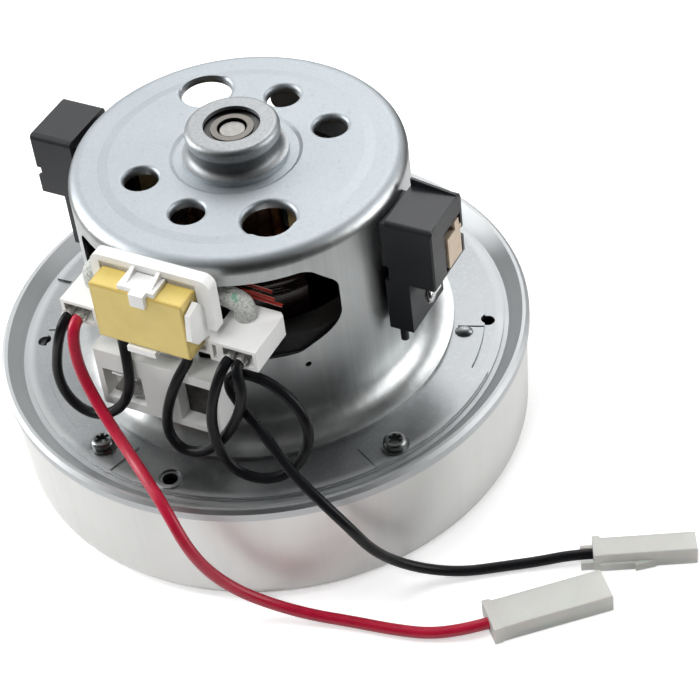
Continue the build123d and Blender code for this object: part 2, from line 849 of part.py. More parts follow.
end_turn_gap = part_gap
with BuildPart() as armature_winding:
    turned(winding_radius, winding_inner, winding_low_z, core_low_z - end_turn_gap)
    turned(winding_radius, winding_inner, core_high_z + end_turn_gap, winding_high_z)
    fillet(
        armature_winding.edges()
        .filter_by(GeomType.CIRCLE)
        .filter_by(lambda edge: edge.radius > winding_inner + overrun),
        radius=coil_round,
    )
    with BuildSketch(Plane.XY.offset(winding_low_z + coil_round)):
        with PolarLocations((slot_inner_radius + slot_outer_radius) / 2, armature_slots):
            Rectangle(
                slot_outer_radius - slot_inner_radius - 2 * seat_gap,
                slot_width - 2 * seat_gap,
            )
    extrude(amount=winding_high_z - winding_low_z - 2 * coil_round)
    with BuildSketch(Plane.XY.offset(winding_low_z - overrun)):
        with PolarLocations(winding_radius, armature_slots, start_angle=full_turn / (2 * armature_slots)):
            Rectangle(slot_opening, slot_opening / 2, rotation=half_turn / 4)
    extrude(amount=winding_high_z - winding_low_z + 2 * overrun, mode=Mode.SUBTRACT)
save(armature_winding, "armature_winding")

with BuildPart() as commutator:
    turned(commutator_radius, hub_radius, commutator_low_z, commutator_high_z)
    turned(riser_radius, hub_radius, commutator_low_z, commutator_low_z + riser_height)
    with BuildSketch(Plane.XY.offset(commutator_low_z)):
        with PolarLocations(riser_radius, commutator_bars):
            Rectangle(2 * (riser_radius - commutator_radius + bar_depth), bar_slot)
    extrude(amount=commutator_high_z - commutator_low_z, mode=Mode.SUBTRACT)
save(commutator, "commutator")

with BuildPart() as commutator_hub:
    turned(
        hub_radius - film_gap,
        shaft_radius + film_gap,
        winding_high_z,
        commutator_high_z + part_gap,
    )
save(commutator_hub, "commutator_hub")

# Brush gear; the left side is the right one turned half round
brush_outer_x = tube_inner_x + brush_length - (tube_inner_x - commutator_radius - seat_gap)
tube_outer_x = holder_outer_x - recess_depth - can_wall
spring_end_x = tube_outer_x


def in_tube(size):
    """A size inside the brush tube's wall and running gap."""
    return size - tube_wall - slide_gap


def write_brush_gear(side, turn):
    """One side's holder, tube, brush, spring, clip and solder tab."""
    with BuildPart() as holder:
        block(
            (holder_inner_x, holder_outer_x),
            (-holder_half_width, holder_half_width),
            (holder_low_z, holder_high_z),
        )
        fillet(holder.edges().filter_by(Axis.X).group_by(Axis.Z)[-1], radius=holder_round)
        chamfer(holder.edges().group_by(Axis.X)[-1], length=holder_edge)
        with BuildSketch(Plane.XZ.offset(fin_thickness + holder_round - holder_half_width)):
            with BuildLine():
                Polyline(
                    (holder_inner_x, holder_high_z - holder_round),
                    (holder_inner_x, holder_high_z + fin_high),
                    (holder_outer_x - holder_edge, holder_high_z + fin_low),
                    (holder_outer_x - holder_edge, holder_high_z - holder_round),
                    close=True,
                )
            make_face()
        extrude(amount=-fin_thickness)
        block(
            (leg_inner_x, leg_outer_x),
            (-holder_half_width, holder_half_width),
            (leg_low_z, holder_low_z),
        )
        block(
            (sleeve_inner_x, holder_inner_x),
            (-sleeve_half_width, sleeve_half_width),
            (sleeve_low_z, sleeve_high_z),
        )
        with Locations((peg_x, peg_y, leg_low_z)):
            Cylinder(peg_radius, leg_low_z - peg_low_z, align=(Align.CENTER, Align.CENTER, Align.MAX))
        cut_block(
            (sleeve_inner_x - overrun, tube_outer_x),
            (-tube_half_width - seat_gap, tube_half_width + seat_gap),
            (tube_low_z - seat_gap, tube_high_z + seat_gap),
        )
        cut_block(
            (holder_outer_x - recess_depth, holder_outer_x + overrun),
            (recess_low_y, recess_high_y),
            (recess_low_z, recess_high_z),
        )
        cut_block(
            (holder_outer_x - notch_depth, holder_outer_x + overrun),
            (holder_half_width - notch_width, holder_half_width + overrun),
            (notch_low_z, notch_high_z),
        )
    with BuildPart() as tube:
        block(
            (tube_inner_x, tube_outer_x),
            (-tube_half_width, tube_half_width),
            (tube_low_z, tube_high_z),
        )
        cut_block(
            (tube_inner_x - overrun, holder_outer_x + overrun),
            (-tube_half_width + tube_wall, tube_half_width - tube_wall),
            (tube_low_z + tube_wall, tube_high_z - tube_wall),
        )
    with BuildPart() as brush:
        block(
            (0, brush_outer_x),
            (-in_tube(tube_half_width), in_tube(tube_half_width)),
            (tube_low_z + tube_wall + slide_gap, tube_high_z - tube_wall - slide_gap),
        )
        with BuildSketch(Plane.XY):
            Circle(commutator_radius + seat_gap)
        extrude(amount=boss_top_z, mode=Mode.SUBTRACT)
    with BuildPart() as clip:
        block(
            (holder_outer_x - recess_depth, holder_outer_x + clip_proud),
            (clip_low_y, clip_high_y),
            (clip_low_z, clip_high_z),
        )
        block(
            (holder_outer_x - recess_depth, holder_outer_x + clip_proud),
            (clip_high_y - clip_finger_inset - clip_finger_width, clip_high_y - clip_finger_inset),
            (clip_high_z, clip_finger_top_z),
        )
        with Locations((holder_outer_x - clip_bead_radius / 2, clip_high_y, clip_high_z - clip_bead_radius)):
            Sphere(clip_bead_radius)
    with BuildPart() as solder_tab:
        block(
            (solder_tab_x, solder_tab_x + solder_tab_thickness),
            (solder_tab_low_y, solder_tab_high_y),
            (holder_low_z - solder_tab_length, holder_low_z),
        )
    coil_length = spring_end_x - brush_outer_x - spring_wire - 2 * seat_gap
    coil_start = (brush_outer_x + spring_wire / 2 + seat_gap, 0, (tube_low_z + tube_high_z) / 2)
    with BuildPart() as spring:
        with BuildLine():
            path = Helix(
                coil_length / spring_turns, coil_length, spring_radius, center=coil_start, direction=(1, 0, 0)
            )
        with BuildSketch(Plane(origin=path @ 0, z_dir=path % 0)):
            RegularPolygon(spring_wire / 2, spring_sides)
        sweep(is_frenet=True)
    for piece, name in (
        (holder, "brush_holder_"),
        (tube, "brush_tube_"),
        (brush, "carbon_brush_"),
        (clip, "brush_clip_"),
        (solder_tab, "solder_tab_"),
        (spring, "brush_spring_"),
    ):
        with BuildPart() as placed:
            add(piece.part.rotate(Axis.Z, turn))
        save(placed, name + side)


write_brush_gear("right", 0)
write_brush_gear("left", half_turn)

# Moulded clip that carries the capacitor and the ends of the wires
with BuildPart() as capacitor_bracket:
    with BuildSketch(Plane.XZ.offset(-frame_back_y)):
        with BuildLine():
            Polyline(
                (frame_left_x, wing_low_z),
                (frame_right_x, wing_low_z),
                (frame_right_x, frame_top_z),
                (frame_left_x, frame_top_z),
                close=True,
            )
        make_face()
    extrude(amount=frame_back_y - frame_front_y)
    fillet(
        capacitor_bracket.edges().filter_by(Axis.Y).group_by(Axis.Z)[-1],
        radius=frame_corner,
    )
    cut_block(
        (capacitor_left_x - pocket_gap, capacitor_right_x + pocket_gap),
        (capacitor_back_y + seat_gap, frame_front_y - overrun),
        (wing_low_z + can_wall, pocket_top_z),
    )
    with BuildSketch(Plane.YZ.offset(capacitor_right_x + pocket_gap)):
        with BuildLine():
            Polyline(*arm_outline, close=True)
        make_face()
    extrude(amount=arm_wall)
    block(
        (top_clip_left_x, top_clip_right_x),
        (frame_front_y, capacitor_front_y + capacitor_round),
        (capacitor_high_z + seat_gap, capacitor_high_z + arm_wall),
    )
    block(
        (top_clip_hook_left_x, top_clip_hook_right_x),
        (capacitor_front_y + capacitor_round, capacitor_front_y - arm_wall),
        (capacitor_high_z + seat_gap, capacitor_high_z + arm_wall),
    )
    block(
        (top_clip_hook_left_x, top_clip_hook_right_x),
        (capacitor_front_y - seat_gap, capacitor_front_y - arm_wall),
        (capacitor_high_z - top_clip_hook_drop, capacitor_high_z + arm_wall),
    )
    for rib_x in (top_clip_left_x + top_clip_rib, top_clip_right_x - 2 * top_clip_rib):
        with BuildSketch(Plane.YZ.offset(rib_x)):
            with BuildLine():
                Polyline(
                    (frame_front_y, capacitor_high_z + arm_wall),
                    (frame_front_y, frame_top_z - top_clip_rib / 2),
                    (capacitor_front_y + arm_wall, capacitor_high_z + arm_wall),
                    close=True,
                )
            make_face()
        extrude(amount=top_clip_rib)
    for clip_x in (foot_clip_left_x, foot_clip_right_x):
        block(
            (clip_x, clip_x + arm_wall),
            (frame_front_y, capacitor_front_y + arm_wall),
            (capacitor_low_z - arm_wall, capacitor_low_z - seat_gap),
        )
    block(
        (foot_clip_left_x, foot_clip_right_x),
        (frame_back_y, capacitor_front_y - arm_wall / 2),
        (wing_low_z + can_wall, capacitor_low_z - seat_gap),
    )
    block((left_wing_outer_x, frame_left_x), (wing_front_y, wing_back_y), (wing_low_z, wing_high_z))
    block((right_wing_inner_x, right_wing_outer_x), (wing_front_y, wing_back_y), (wing_low_z, wing_high_z))
    block(
        (frame_left_x, right_wing_inner_x),
        (capacitor_back_y + seat_gap, frame_back_y),
        (wing_low_z, wing_high_z),
    )
    cut_block(
        (capacitor_right_x + pocket_gap + arm_wall, frame_right_x + overrun),
        (frame_back_y + overrun, frame_front_y - overrun),
        (wing_high_z, arm_foot_z),
    )
    chamfer(
        capacitor_bracket.edges()
        .filter_by(Axis.Z)
        .filter_by_position(Axis.X, right_wing_outer_x - seat_gap, right_wing_outer_x + seat_gap)
        .sort_by(Axis.Y)[-1],
        length=wing_chamfer,
    )
    with BuildSketch(Plane.XY.offset(wing_low_z)):
        saddle_start = -half_turn / 2 - saddle_half_angle
        with BuildLine():
            outer = CenterArc((0, 0), saddle_inner_radius + saddle_wall, saddle_start, 2 * saddle_half_angle)
            inner = CenterArc((0, 0), saddle_inner_radius, saddle_start, 2 * saddle_half_angle)
            Line(outer @ 0, inner @ 0)
            Line(outer @ 1, inner @ 1)
        make_face()
    extrude(amount=wing_high_z - wing_low_z)
    for left_x, right_x in (
        (left_wing_outer_x, frame_left_x - socket_wall),
        (black_exit_x - black_diameter, right_wing_outer_x),
        (right_wing_inner_x, black_exit_x - black_diameter),
    ):
        cut_block(
            (left_x + socket_wall, right_x - socket_wall),
            (wing_front_y - overrun, wing_front_y + socket_depth),
            (wing_low_z + socket_wall, wing_high_z - socket_wall),
        )
save(capacitor_bracket, "capacitor_bracket")

with BuildPart() as capacitor:
    block(
        (capacitor_left_x, capacitor_right_x),
        (capacitor_front_y, capacitor_back_y),
        (capacitor_low_z, capacitor_high_z),
    )
    fillet(capacitor.edges(), radius=capacitor_round)
save(capacitor, "capacitor")

# Terminal block, hollow at its two sockets and saddled to the can
with BuildPart() as terminal_block:
    with BuildSketch(Plane.XY.offset(block_low_z)):
        with BuildLine():
            right_angle = -half_turn / 2 + degrees(asin(block_right_x / saddle_inner_radius))
            left_angle = -half_turn / 2 + degrees(asin(block_left_x / saddle_inner_radius))
            back = CenterArc((0, 0), saddle_inner_radius, left_angle, right_angle - left_angle)
            right_side = Line(back @ 1, (block_right_x, block_front_y))
            front = Line(right_side @ 1, (block_left_x, block_front_y))
            Line(front @ 1, back @ 0)
        make_face()
    extrude(amount=block_high_z - block_low_z)
    fillet(
        terminal_block.edges().filter_by(Axis.Z).group_by(Axis.Y)[0],
        radius=block_round,
    )
    for x_range, z_range in ((left_socket_x, left_socket_z), (right_socket_x, right_socket_z)):
        cut_block(x_range, (block_front_y - overrun, block_front_y + block_socket_depth), z_range)
    neck_half_x = (block_right_x - block_left_x) * neck_share / 2
    with BuildSketch(Plane.XY.offset(block_high_z)):
        with BuildLine():
            neck_angle = degrees(asin(neck_half_x / saddle_inner_radius))
            outer = CenterArc(
                (0, 0), saddle_inner_radius + saddle_wall, -half_turn / 2 - neck_angle, 2 * neck_angle
            )
            inner = CenterArc((0, 0), saddle_inner_radius, -half_turn / 2 - neck_angle, 2 * neck_angle)
            Line(outer @ 0, inner @ 0)
            Line(outer @ 1, inner @ 1)
        make_face()
    extrude(amount=wing_low_z - block_high_z)
save(terminal_block, "terminal_block")

socket_back_y = block_front_y + block_socket_depth
with BuildPart() as block_tabs:
    for low_z in (left_socket_z[0] + tab_inset, left_socket_z[1] - tab_inset - tab_thickness):
        block(
            (left_socket_x[0] + tab_height / 2, left_socket_x[1] - tab_height / 2),
            (socket_back_y - block_socket_depth * (1 - tab_thickness / tab_height), socket_back_y),
            (low_z, low_z + tab_thickness),
        )
save(block_tabs, "block_tabs")

# Tinned wire ends where the leads enter the wings
exits = (
    (left_jumper_x, left_exit_z),
    (red_exit_x, left_exit_z),
    (black_exit_x, right_exit_z),
    (right_jumper_x, right_exit_z),
)
with BuildPart() as wire_terminals:
    for exit_x, exit_z in exits:
        with BuildSketch(Plane.XZ.offset(-wing_front_y)):
            with Locations((exit_x, exit_z)):
                Circle(barrel_diameter / 2)
        extrude(amount=-socket_depth)
save(wire_terminals, "wire_terminals")


def fillet_radii(points):
    """Each bend as large as its two runs allow."""
    radii = []
    for before, here, after in zip(points, points[1:], points[2:]):
        run_in = Vector(*here) - Vector(*before)
        run_out = Vector(*after) - Vector(*here)
        turn = radians(run_in.get_angle(run_out))
        shorter = min(run_in.length, run_out.length)
        radii.append(bend_share * shorter / tan(turn / 2))
    return radii


def write_wire(points, diameter, name):
    """A round wire along straight runs and tangent arcs."""
    radii = fillet_radii(points)
    with BuildPart() as wire:
        with BuildLine() as route:
            FilletPolyline(*points, radius=radii)
        start = route.wire() @ 0
        with BuildSketch(Plane(origin=start, z_dir=route.wire() % 0)):
            Circle(diameter / 2)
        sweep(path=route.wire())
    length = route.wire().length
    ideal = pi * diameter**2 / 4 * length
    print(name, "length", round(length, 1), "volume share", round(wire.part.volume / ideal, 4))
    print("  radii", [round(radius, 1) for radius in radii])
    save(wire, name)


bend_share = 0.45

left_jumper_route = [
    (-22.5, -46.0, 65.9),
    (-22.5, -48.8, 65.9),
    (-23.9, -50.4, 61.4),
    (-25.7, -50.2, 55.8),
    (-27.2, -50.3, 49.3),
    (-26.7, -50.3, 43.0),
    (-23.4, -50.4, 38.6),
    (-18.0, -50.6, 37.8),
    (-12.6, -50.4, 40.6),
    (-8.6, -50.0, 45.4),
    (-6.7, -49.4, 51.2),
    (-6.8, -48.5, 57.0),
    (-7.7, -47.2, 62.9),
    (-7.7, -47.2, 66.5),
]
right_jumper_route = [
    (10.5, -47.2, 66.5),
    (10.5, -47.2, 63.3),
    (8.0, -48.9, 59.0),
    (5.2, -50.2, 52.2),
    (2.9, -50.4, 45.0),
    (2.3, -50.4, 38.4),
    (5.6, -50.5, 34.4),
    (10.9, -50.5, 35.6),
    (16.4, -50.5, 40.6),
    (21.0, -50.4, 47.4),
    (24.3, -50.3, 54.6),
    (25.6, -50.0, 60.6),
    (23.8, -49.0, 66.3),
    (23.8, -46.0, 66.3),
]
black_lead_route = [
    (21.0, -46.0, 66.3),
    (21.0, -48.9, 66.3),
    (19.9, -51.0, 62.6),
    (18.1, -52.4, 56.2),
    (17.3, -53.0, 48.6),
    (18.4, -53.2, 41.2),
    (21.8, -53.0, 35.8),
    (27.4, -51.6, 33.8),
    (33.0, -49.4, 35.0),
    (37.2, -46.8, 40.0),
    (38.9, -45.2, 47.0),
    (37.2, -44.7, 53.6),
    (32.3, -44.4, 58.4),
    (26.2, -44.4, 60.6),
    (20.4, -45.0, 60.2),
    (18.8, -46.2, 56.6),
    (22.6, -47.2, 52.0),
    (29.8, -49.6, 46.4),
    (37.6, -53.0, 41.0),
    (45.4, -55.0, 37.0),
    (52.0, -54.4, 29.6),
    (54.8, -51.2, 20.4),
    (57.6, -46.0, 11.8),
    (63.0, -40.6, 5.4),
    (70.2, -35.4, 2.0),
    (78.2, -29.8, 1.5),
    (85.6, -25.2, 1.6),
    (92.1, -21.3, 2.5),
    (97.0, -18.8, 2.5),
]
red_lead_route = [
    (-19.7, -46.0, 65.9),
    (-19.7, -48.9, 65.9),
    (-19.5, -51.0, 61.0),
    (-18.4, -52.2, 54.8),
    (-15.0, -53.8, 48.6),
    (-9.4, -56.6, 43.4),
    (-2.4, -60.6, 40.2),
    (5.4, -65.8, 39.2),
    (13.2, -70.8, 36.8),
    (18.6, -73.4, 29.6),
    (22.4, -72.0, 20.6),
    (27.2, -68.6, 12.2),
    (34.0, -64.8, 6.0),
    (42.4, -61.6, 2.4),
    (52.0, -59.2, 1.6),
    (62.0, -57.8, 1.7),
    (71.0, -55.6, 1.7),
    (78.8, -51.4, 2.5),
    (82.5, -48.0, 2.5),
]
write_wire(left_jumper_route, black_diameter, "jumper_left")
write_wire(right_jumper_route, black_diameter, "jumper_right")
write_wire(black_lead_route, black_diameter, "black_lead")
write_wire(red_lead_route, red_diameter, "red_lead")

# Woven sleeves over the ends of the field coils, from the end turns to the wings
right_sleeve_route = [
    (4.5, -30.2, 72.4),
    (9.6, -33.8, 74.8),
    (14.6, -35.6, 74.9),
    (20.0, -35.6, 73.6),
    (20.0, -35.6, 69.7),
]
left_sleeve_route = [
    (-6.5, -29.3, 72.0),
    (-11.2, -31.6, 73.0),
    (-15.6, -34.7, 74.4),
    (-19.8, -37.7, 74.0),
    (-19.8, -37.7, 69.7),
]


def write_connector(name, place, angle, length, width, latch_side):
    """A flat nylon housing on the floor, open at its far end, and the contact inside it."""
    ground = Plane(origin=(*place, 0), x_dir=(cos(radians(angle)), sin(radians(angle)), 0), z_dir=(0, 0, 1))
    with BuildPart(ground) as housing:
        Box(length, width, connector_height, align=(Align.MIN, Align.CENTER, Align.MIN))
        fillet(housing.edges().group_by(Axis.Z)[-1], radius=connector_lip)
        Box(
            connector_lip_length,
            width + 2 * connector_lip,
            connector_height + connector_lip,
            align=(Align.MIN, Align.CENTER, Align.MIN),
        )
        if latch_side != 0:
            for side in (-1, 1):
                with Locations((-cheek_reach, side * (width - cheek_thickness) / 2, 0)):
                    Box(
                        2 * cheek_reach,
                        cheek_thickness,
                        connector_height / 2,
                        align=(Align.MIN, Align.CENTER, Align.MIN),
                    )
            with BuildSketch(ground) as latch:
                with BuildLine():
                    Polyline(
                        (length * latch_start_share, latch_side * (width / 2 - connector_lip)),
                        (length * latch_start_share, latch_side * (width / 2 + latch_width / 2)),
                        (length * latch_barb_share, latch_side * (width / 2 + latch_width / 2)),
                        (length * latch_barb_share, latch_side * (width / 2 + latch_width)),
                        (length * latch_end_share, latch_side * (width / 2 + connector_lip)),
                        (length * latch_end_share, latch_side * (width / 2 - connector_lip)),
                        close=True,
                    )
                make_face()
            extrude(latch.sketch, amount=latch_height)
        with Locations((connector_bore_start, 0, connector_wall)):
            Box(
                length,
                width - 2 * connector_wall,
                connector_height - 2 * connector_wall,
                align=(Align.MIN, Align.CENTER, Align.MIN),
                mode=Mode.SUBTRACT,
            )
    with BuildPart(ground) as contact:
        with Locations((length * contact_start_share, 0, connector_wall)):
            Box(
                length * (contact_end_share - contact_start_share),
                width - 2 * connector_wall - 2 * seat_gap,
                contact_thickness,
                align=(Align.MIN, Align.CENTER, Align.MIN),
            )
    save(housing, name + "_connector")
    save(contact, name + "_contact")


write_connector(
    "red", red_connector_place, red_connector_angle, red_connector_length, red_connector_width, 0
)
write_connector(
    "black", black_connector_place, black_connector_angle, black_connector_length, black_connector_width, -1
)
with BuildPart() as coil_sleeves:
    for route in (left_sleeve_route, right_sleeve_route):
        with BuildLine() as centre:
            FilletPolyline(*route, radius=fillet_radii(route))
        with BuildSketch(Plane(origin=centre.wire() @ 0, z_dir=centre.wire() % 0)) as section:
            Circle(sleeve_diameter / 2)
        sweep(section.sketch, path=centre.wire())
save(coil_sleeves, "coil_sleeves")
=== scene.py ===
import bmesh
import bpy
import json
import numpy as np
from math import cos, pi, radians, sin
from mathutils import Matrix, Vector


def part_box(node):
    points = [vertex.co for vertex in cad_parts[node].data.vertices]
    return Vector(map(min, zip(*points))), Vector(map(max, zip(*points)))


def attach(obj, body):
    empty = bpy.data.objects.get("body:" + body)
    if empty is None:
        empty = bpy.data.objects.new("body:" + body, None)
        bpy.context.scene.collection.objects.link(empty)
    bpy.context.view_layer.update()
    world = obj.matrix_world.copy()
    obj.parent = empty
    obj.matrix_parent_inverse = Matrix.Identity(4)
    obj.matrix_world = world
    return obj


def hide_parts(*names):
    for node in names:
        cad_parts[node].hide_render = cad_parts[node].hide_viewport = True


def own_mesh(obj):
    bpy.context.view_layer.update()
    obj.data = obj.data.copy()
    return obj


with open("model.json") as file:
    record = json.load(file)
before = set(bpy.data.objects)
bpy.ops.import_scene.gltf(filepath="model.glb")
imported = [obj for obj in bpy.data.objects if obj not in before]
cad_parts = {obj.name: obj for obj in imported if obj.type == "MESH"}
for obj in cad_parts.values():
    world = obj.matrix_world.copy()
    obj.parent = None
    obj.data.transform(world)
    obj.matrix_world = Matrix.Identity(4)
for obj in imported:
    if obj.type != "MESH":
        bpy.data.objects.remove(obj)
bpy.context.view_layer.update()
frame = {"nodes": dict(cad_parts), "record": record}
nodes = frame["nodes"]
print("frame loaded:", len(nodes), "nodes")


# a shader socket that does maths, so that a look reads as an expression
class Wire:
    def __init__(self, look, socket):
        self.look = look
        self.socket = socket

    def maths(self, operation, *others):
        return self.look.node("ShaderNodeMath", {"operation": operation}, [self, *others])

    def __add__(self, other):
        return self.maths("ADD", other)

    def __radd__(self, other):
        return self.maths("ADD", other)

    def __sub__(self, other):
        return self.maths("SUBTRACT", other)

    def __rsub__(self, other):
        return self.look.node("ShaderNodeMath", {"operation": "SUBTRACT"}, [other, self])

    def __mul__(self, other):
        return self.maths("MULTIPLY", other)

    def __rmul__(self, other):
        return self.maths("MULTIPLY", other)

    def __pow__(self, other):
        return self.maths("POWER", other)

    def atLeast(self, other):
        return self.maths("MAXIMUM", other)

    def atMost(self, other):
        return self.maths("MINIMUM", other)

    # the value without its sign
    def size(self):
        return (self**2) ** 0.5

    # 0 below low, 1 above high, smooth between
    def rise(self, low, high):
        inputs = {"Value": self, "From Min": low, "From Max": high}
        return self.look.node("ShaderNodeMapRange", {"interpolation_type": "SMOOTHSTEP"}, inputs)

    # 1 inside a band, fading over soft at both sides
    def band(self, low, high, soft):
        return self.rise(low - soft, low) * (1 - self.rise(high, high + soft))


# one material with its principled shader
class Look:
    def __init__(self, name, colour, roughness, metallic=0.0, **sockets):
        self.material = bpy.data.materials.new(name)
        self.material.use_nodes = True
        self.tree = self.material.node_tree
        self.shader = self.tree.nodes["Principled BSDF"]
        self.shader.inputs["Base Color"].default_value = (*colour, 1)
        self.shader.inputs["Roughness"].default_value = roughness
        self.shader.inputs["Metallic"].default_value = metallic
        for socketName, value in sockets.items():
            self.shader.inputs[socketName.replace("_", " ")].default_value = value
        self.object = self.node("ShaderNodeTexCoord", {}, {}, "Object")

    # one node: its settings first, then the values or links of its sockets
    def node(self, kind, settings, inputs, out=0):
        made = self.tree.nodes.new(kind)
        for key, value in settings.items():
            setattr(made, key, value)
        pairs = inputs.items() if isinstance(inputs, dict) else enumerate(inputs)
        for key, value in pairs:
            if isinstance(value, Wire):
                self.tree.links.new(value.socket, made.inputs[key])
            else:
                made.inputs[key].default_value = value
        return Wire(self, made.outputs[out])

    # cloudy noise from 0 to 1, drawn out along an axis where its stretch is small
    def noise(self, scale, detail=3, rough=0.55, stretch=None):
        where = self.object
        if stretch:
            where = self.node("ShaderNodeMapping", {}, {"Vector": where, "Scale": stretch})
        inputs = {"Vector": where, "Scale": scale, "Detail": detail, "Roughness": rough}
        return self.node("ShaderNodeTexNoise", {}, inputs, "Fac")

    # x, y or z of the point, in metres
    def axis(self, index):
        return self.node("ShaderNodeSeparateXYZ", {}, {"Vector": self.object}, index)

    # distance from the shaft's line
    def radius(self):
        return (self.axis(0) ** 2 + self.axis(1) ** 2) ** 0.5

    # first where the factor is 0, second where it is 1
    def mix(self, factor, first, second):
        first = first if isinstance(first, Wire) else (*first, 1)
        second = second if isinstance(second, Wire) else (*second, 1)
        return self.node("ShaderNodeMix", {"data_type": "RGBA"}, {0: factor, 6: first, 7: second}, 2)

    def paint(self, socketName, wire):
        self.tree.links.new(wire.socket, self.shader.inputs[socketName])

    # raises the surface by height times distance
    def bump(self, height, distance):
        inputs = {"Height": height, "Distance": distance}
        self.paint("Normal", self.node("ShaderNodeBump", {}, inputs, "Normal"))


# one material over the whole piece
def dress(piece, look):
    data = piece.data
    data.materials.clear()
    data.materials.append(look.material)


# a mesh from arrays of points and faces
def meshFrom(name, points, quads, smooth=True):
    mesh = bpy.data.meshes.new(name)
    mesh.from_pydata(points.reshape(-1, 3).tolist(), [], quads.reshape(-1, quads.shape[-1]).tolist())
    mesh.update()
    mesh.polygons.foreach_set("use_smooth", [smooth] * len(mesh.polygons))
    piece = bpy.data.objects.new(name, mesh)
    bpy.context.scene.collection.objects.link(piece)
    return piece


# the four corners of each cell of a grid of points, where a closed side runs on into its start
def quadsOfGrid(rows, columns, closedRows, closedColumns):
    rowIndex = np.arange(rows if closedRows else rows - 1)
    columnIndex = np.arange(columns if closedColumns else columns - 1)
    i, j = np.meshgrid(rowIndex, columnIndex, indexing="ij")
    nextI = (i + 1) % rows
    nextJ = (j + 1) % columns
    corners = [i * columns + j, i * columns + nextJ, nextI * columns + nextJ, nextI * columns + j]
    return np.stack(corners, -1)


camera = {
    "azimuth": 32.0,
    "elevation": 42.77,
    "roll": -7.59,
    "place": (0.2396, -0.3444, 0.4048),
    "lens": 113.14,
    "sensor": 36,
    "clip": (0.01, 20),
}


# the photograph's viewpoint, fitted on the can, the rim and the cap's holes
def makeCamera():
    az = radians(camera["azimuth"])
    el = radians(camera["elevation"])
    roll = radians(camera["roll"])
    ahead = Vector((-sin(az) * cos(el), cos(az) * cos(el), -sin(el)))
    right = Vector((cos(az), sin(az), 0))
    up = Vector((-sin(az) * sin(el), cos(az) * sin(el), cos(el)))
    rolledRight = right * cos(roll) + up * sin(roll)
    rolledUp = up * cos(roll) - right * sin(roll)
    data = bpy.data.cameras.new("view")
    data.lens = camera["lens"]
    data.sensor_width = camera["sensor"]
    data.clip_start, data.clip_end = camera["clip"]
    view = bpy.data.objects.new("view", data)
    turn = Matrix((rolledRight, rolledUp, -ahead)).transposed().to_4x4()
    view.matrix_world = Matrix.Translation(camera["place"]) @ turn
    bpy.context.scene.collection.objects.link(view)
    bpy.context.scene.camera = view


makeCamera()
print("camera placed")

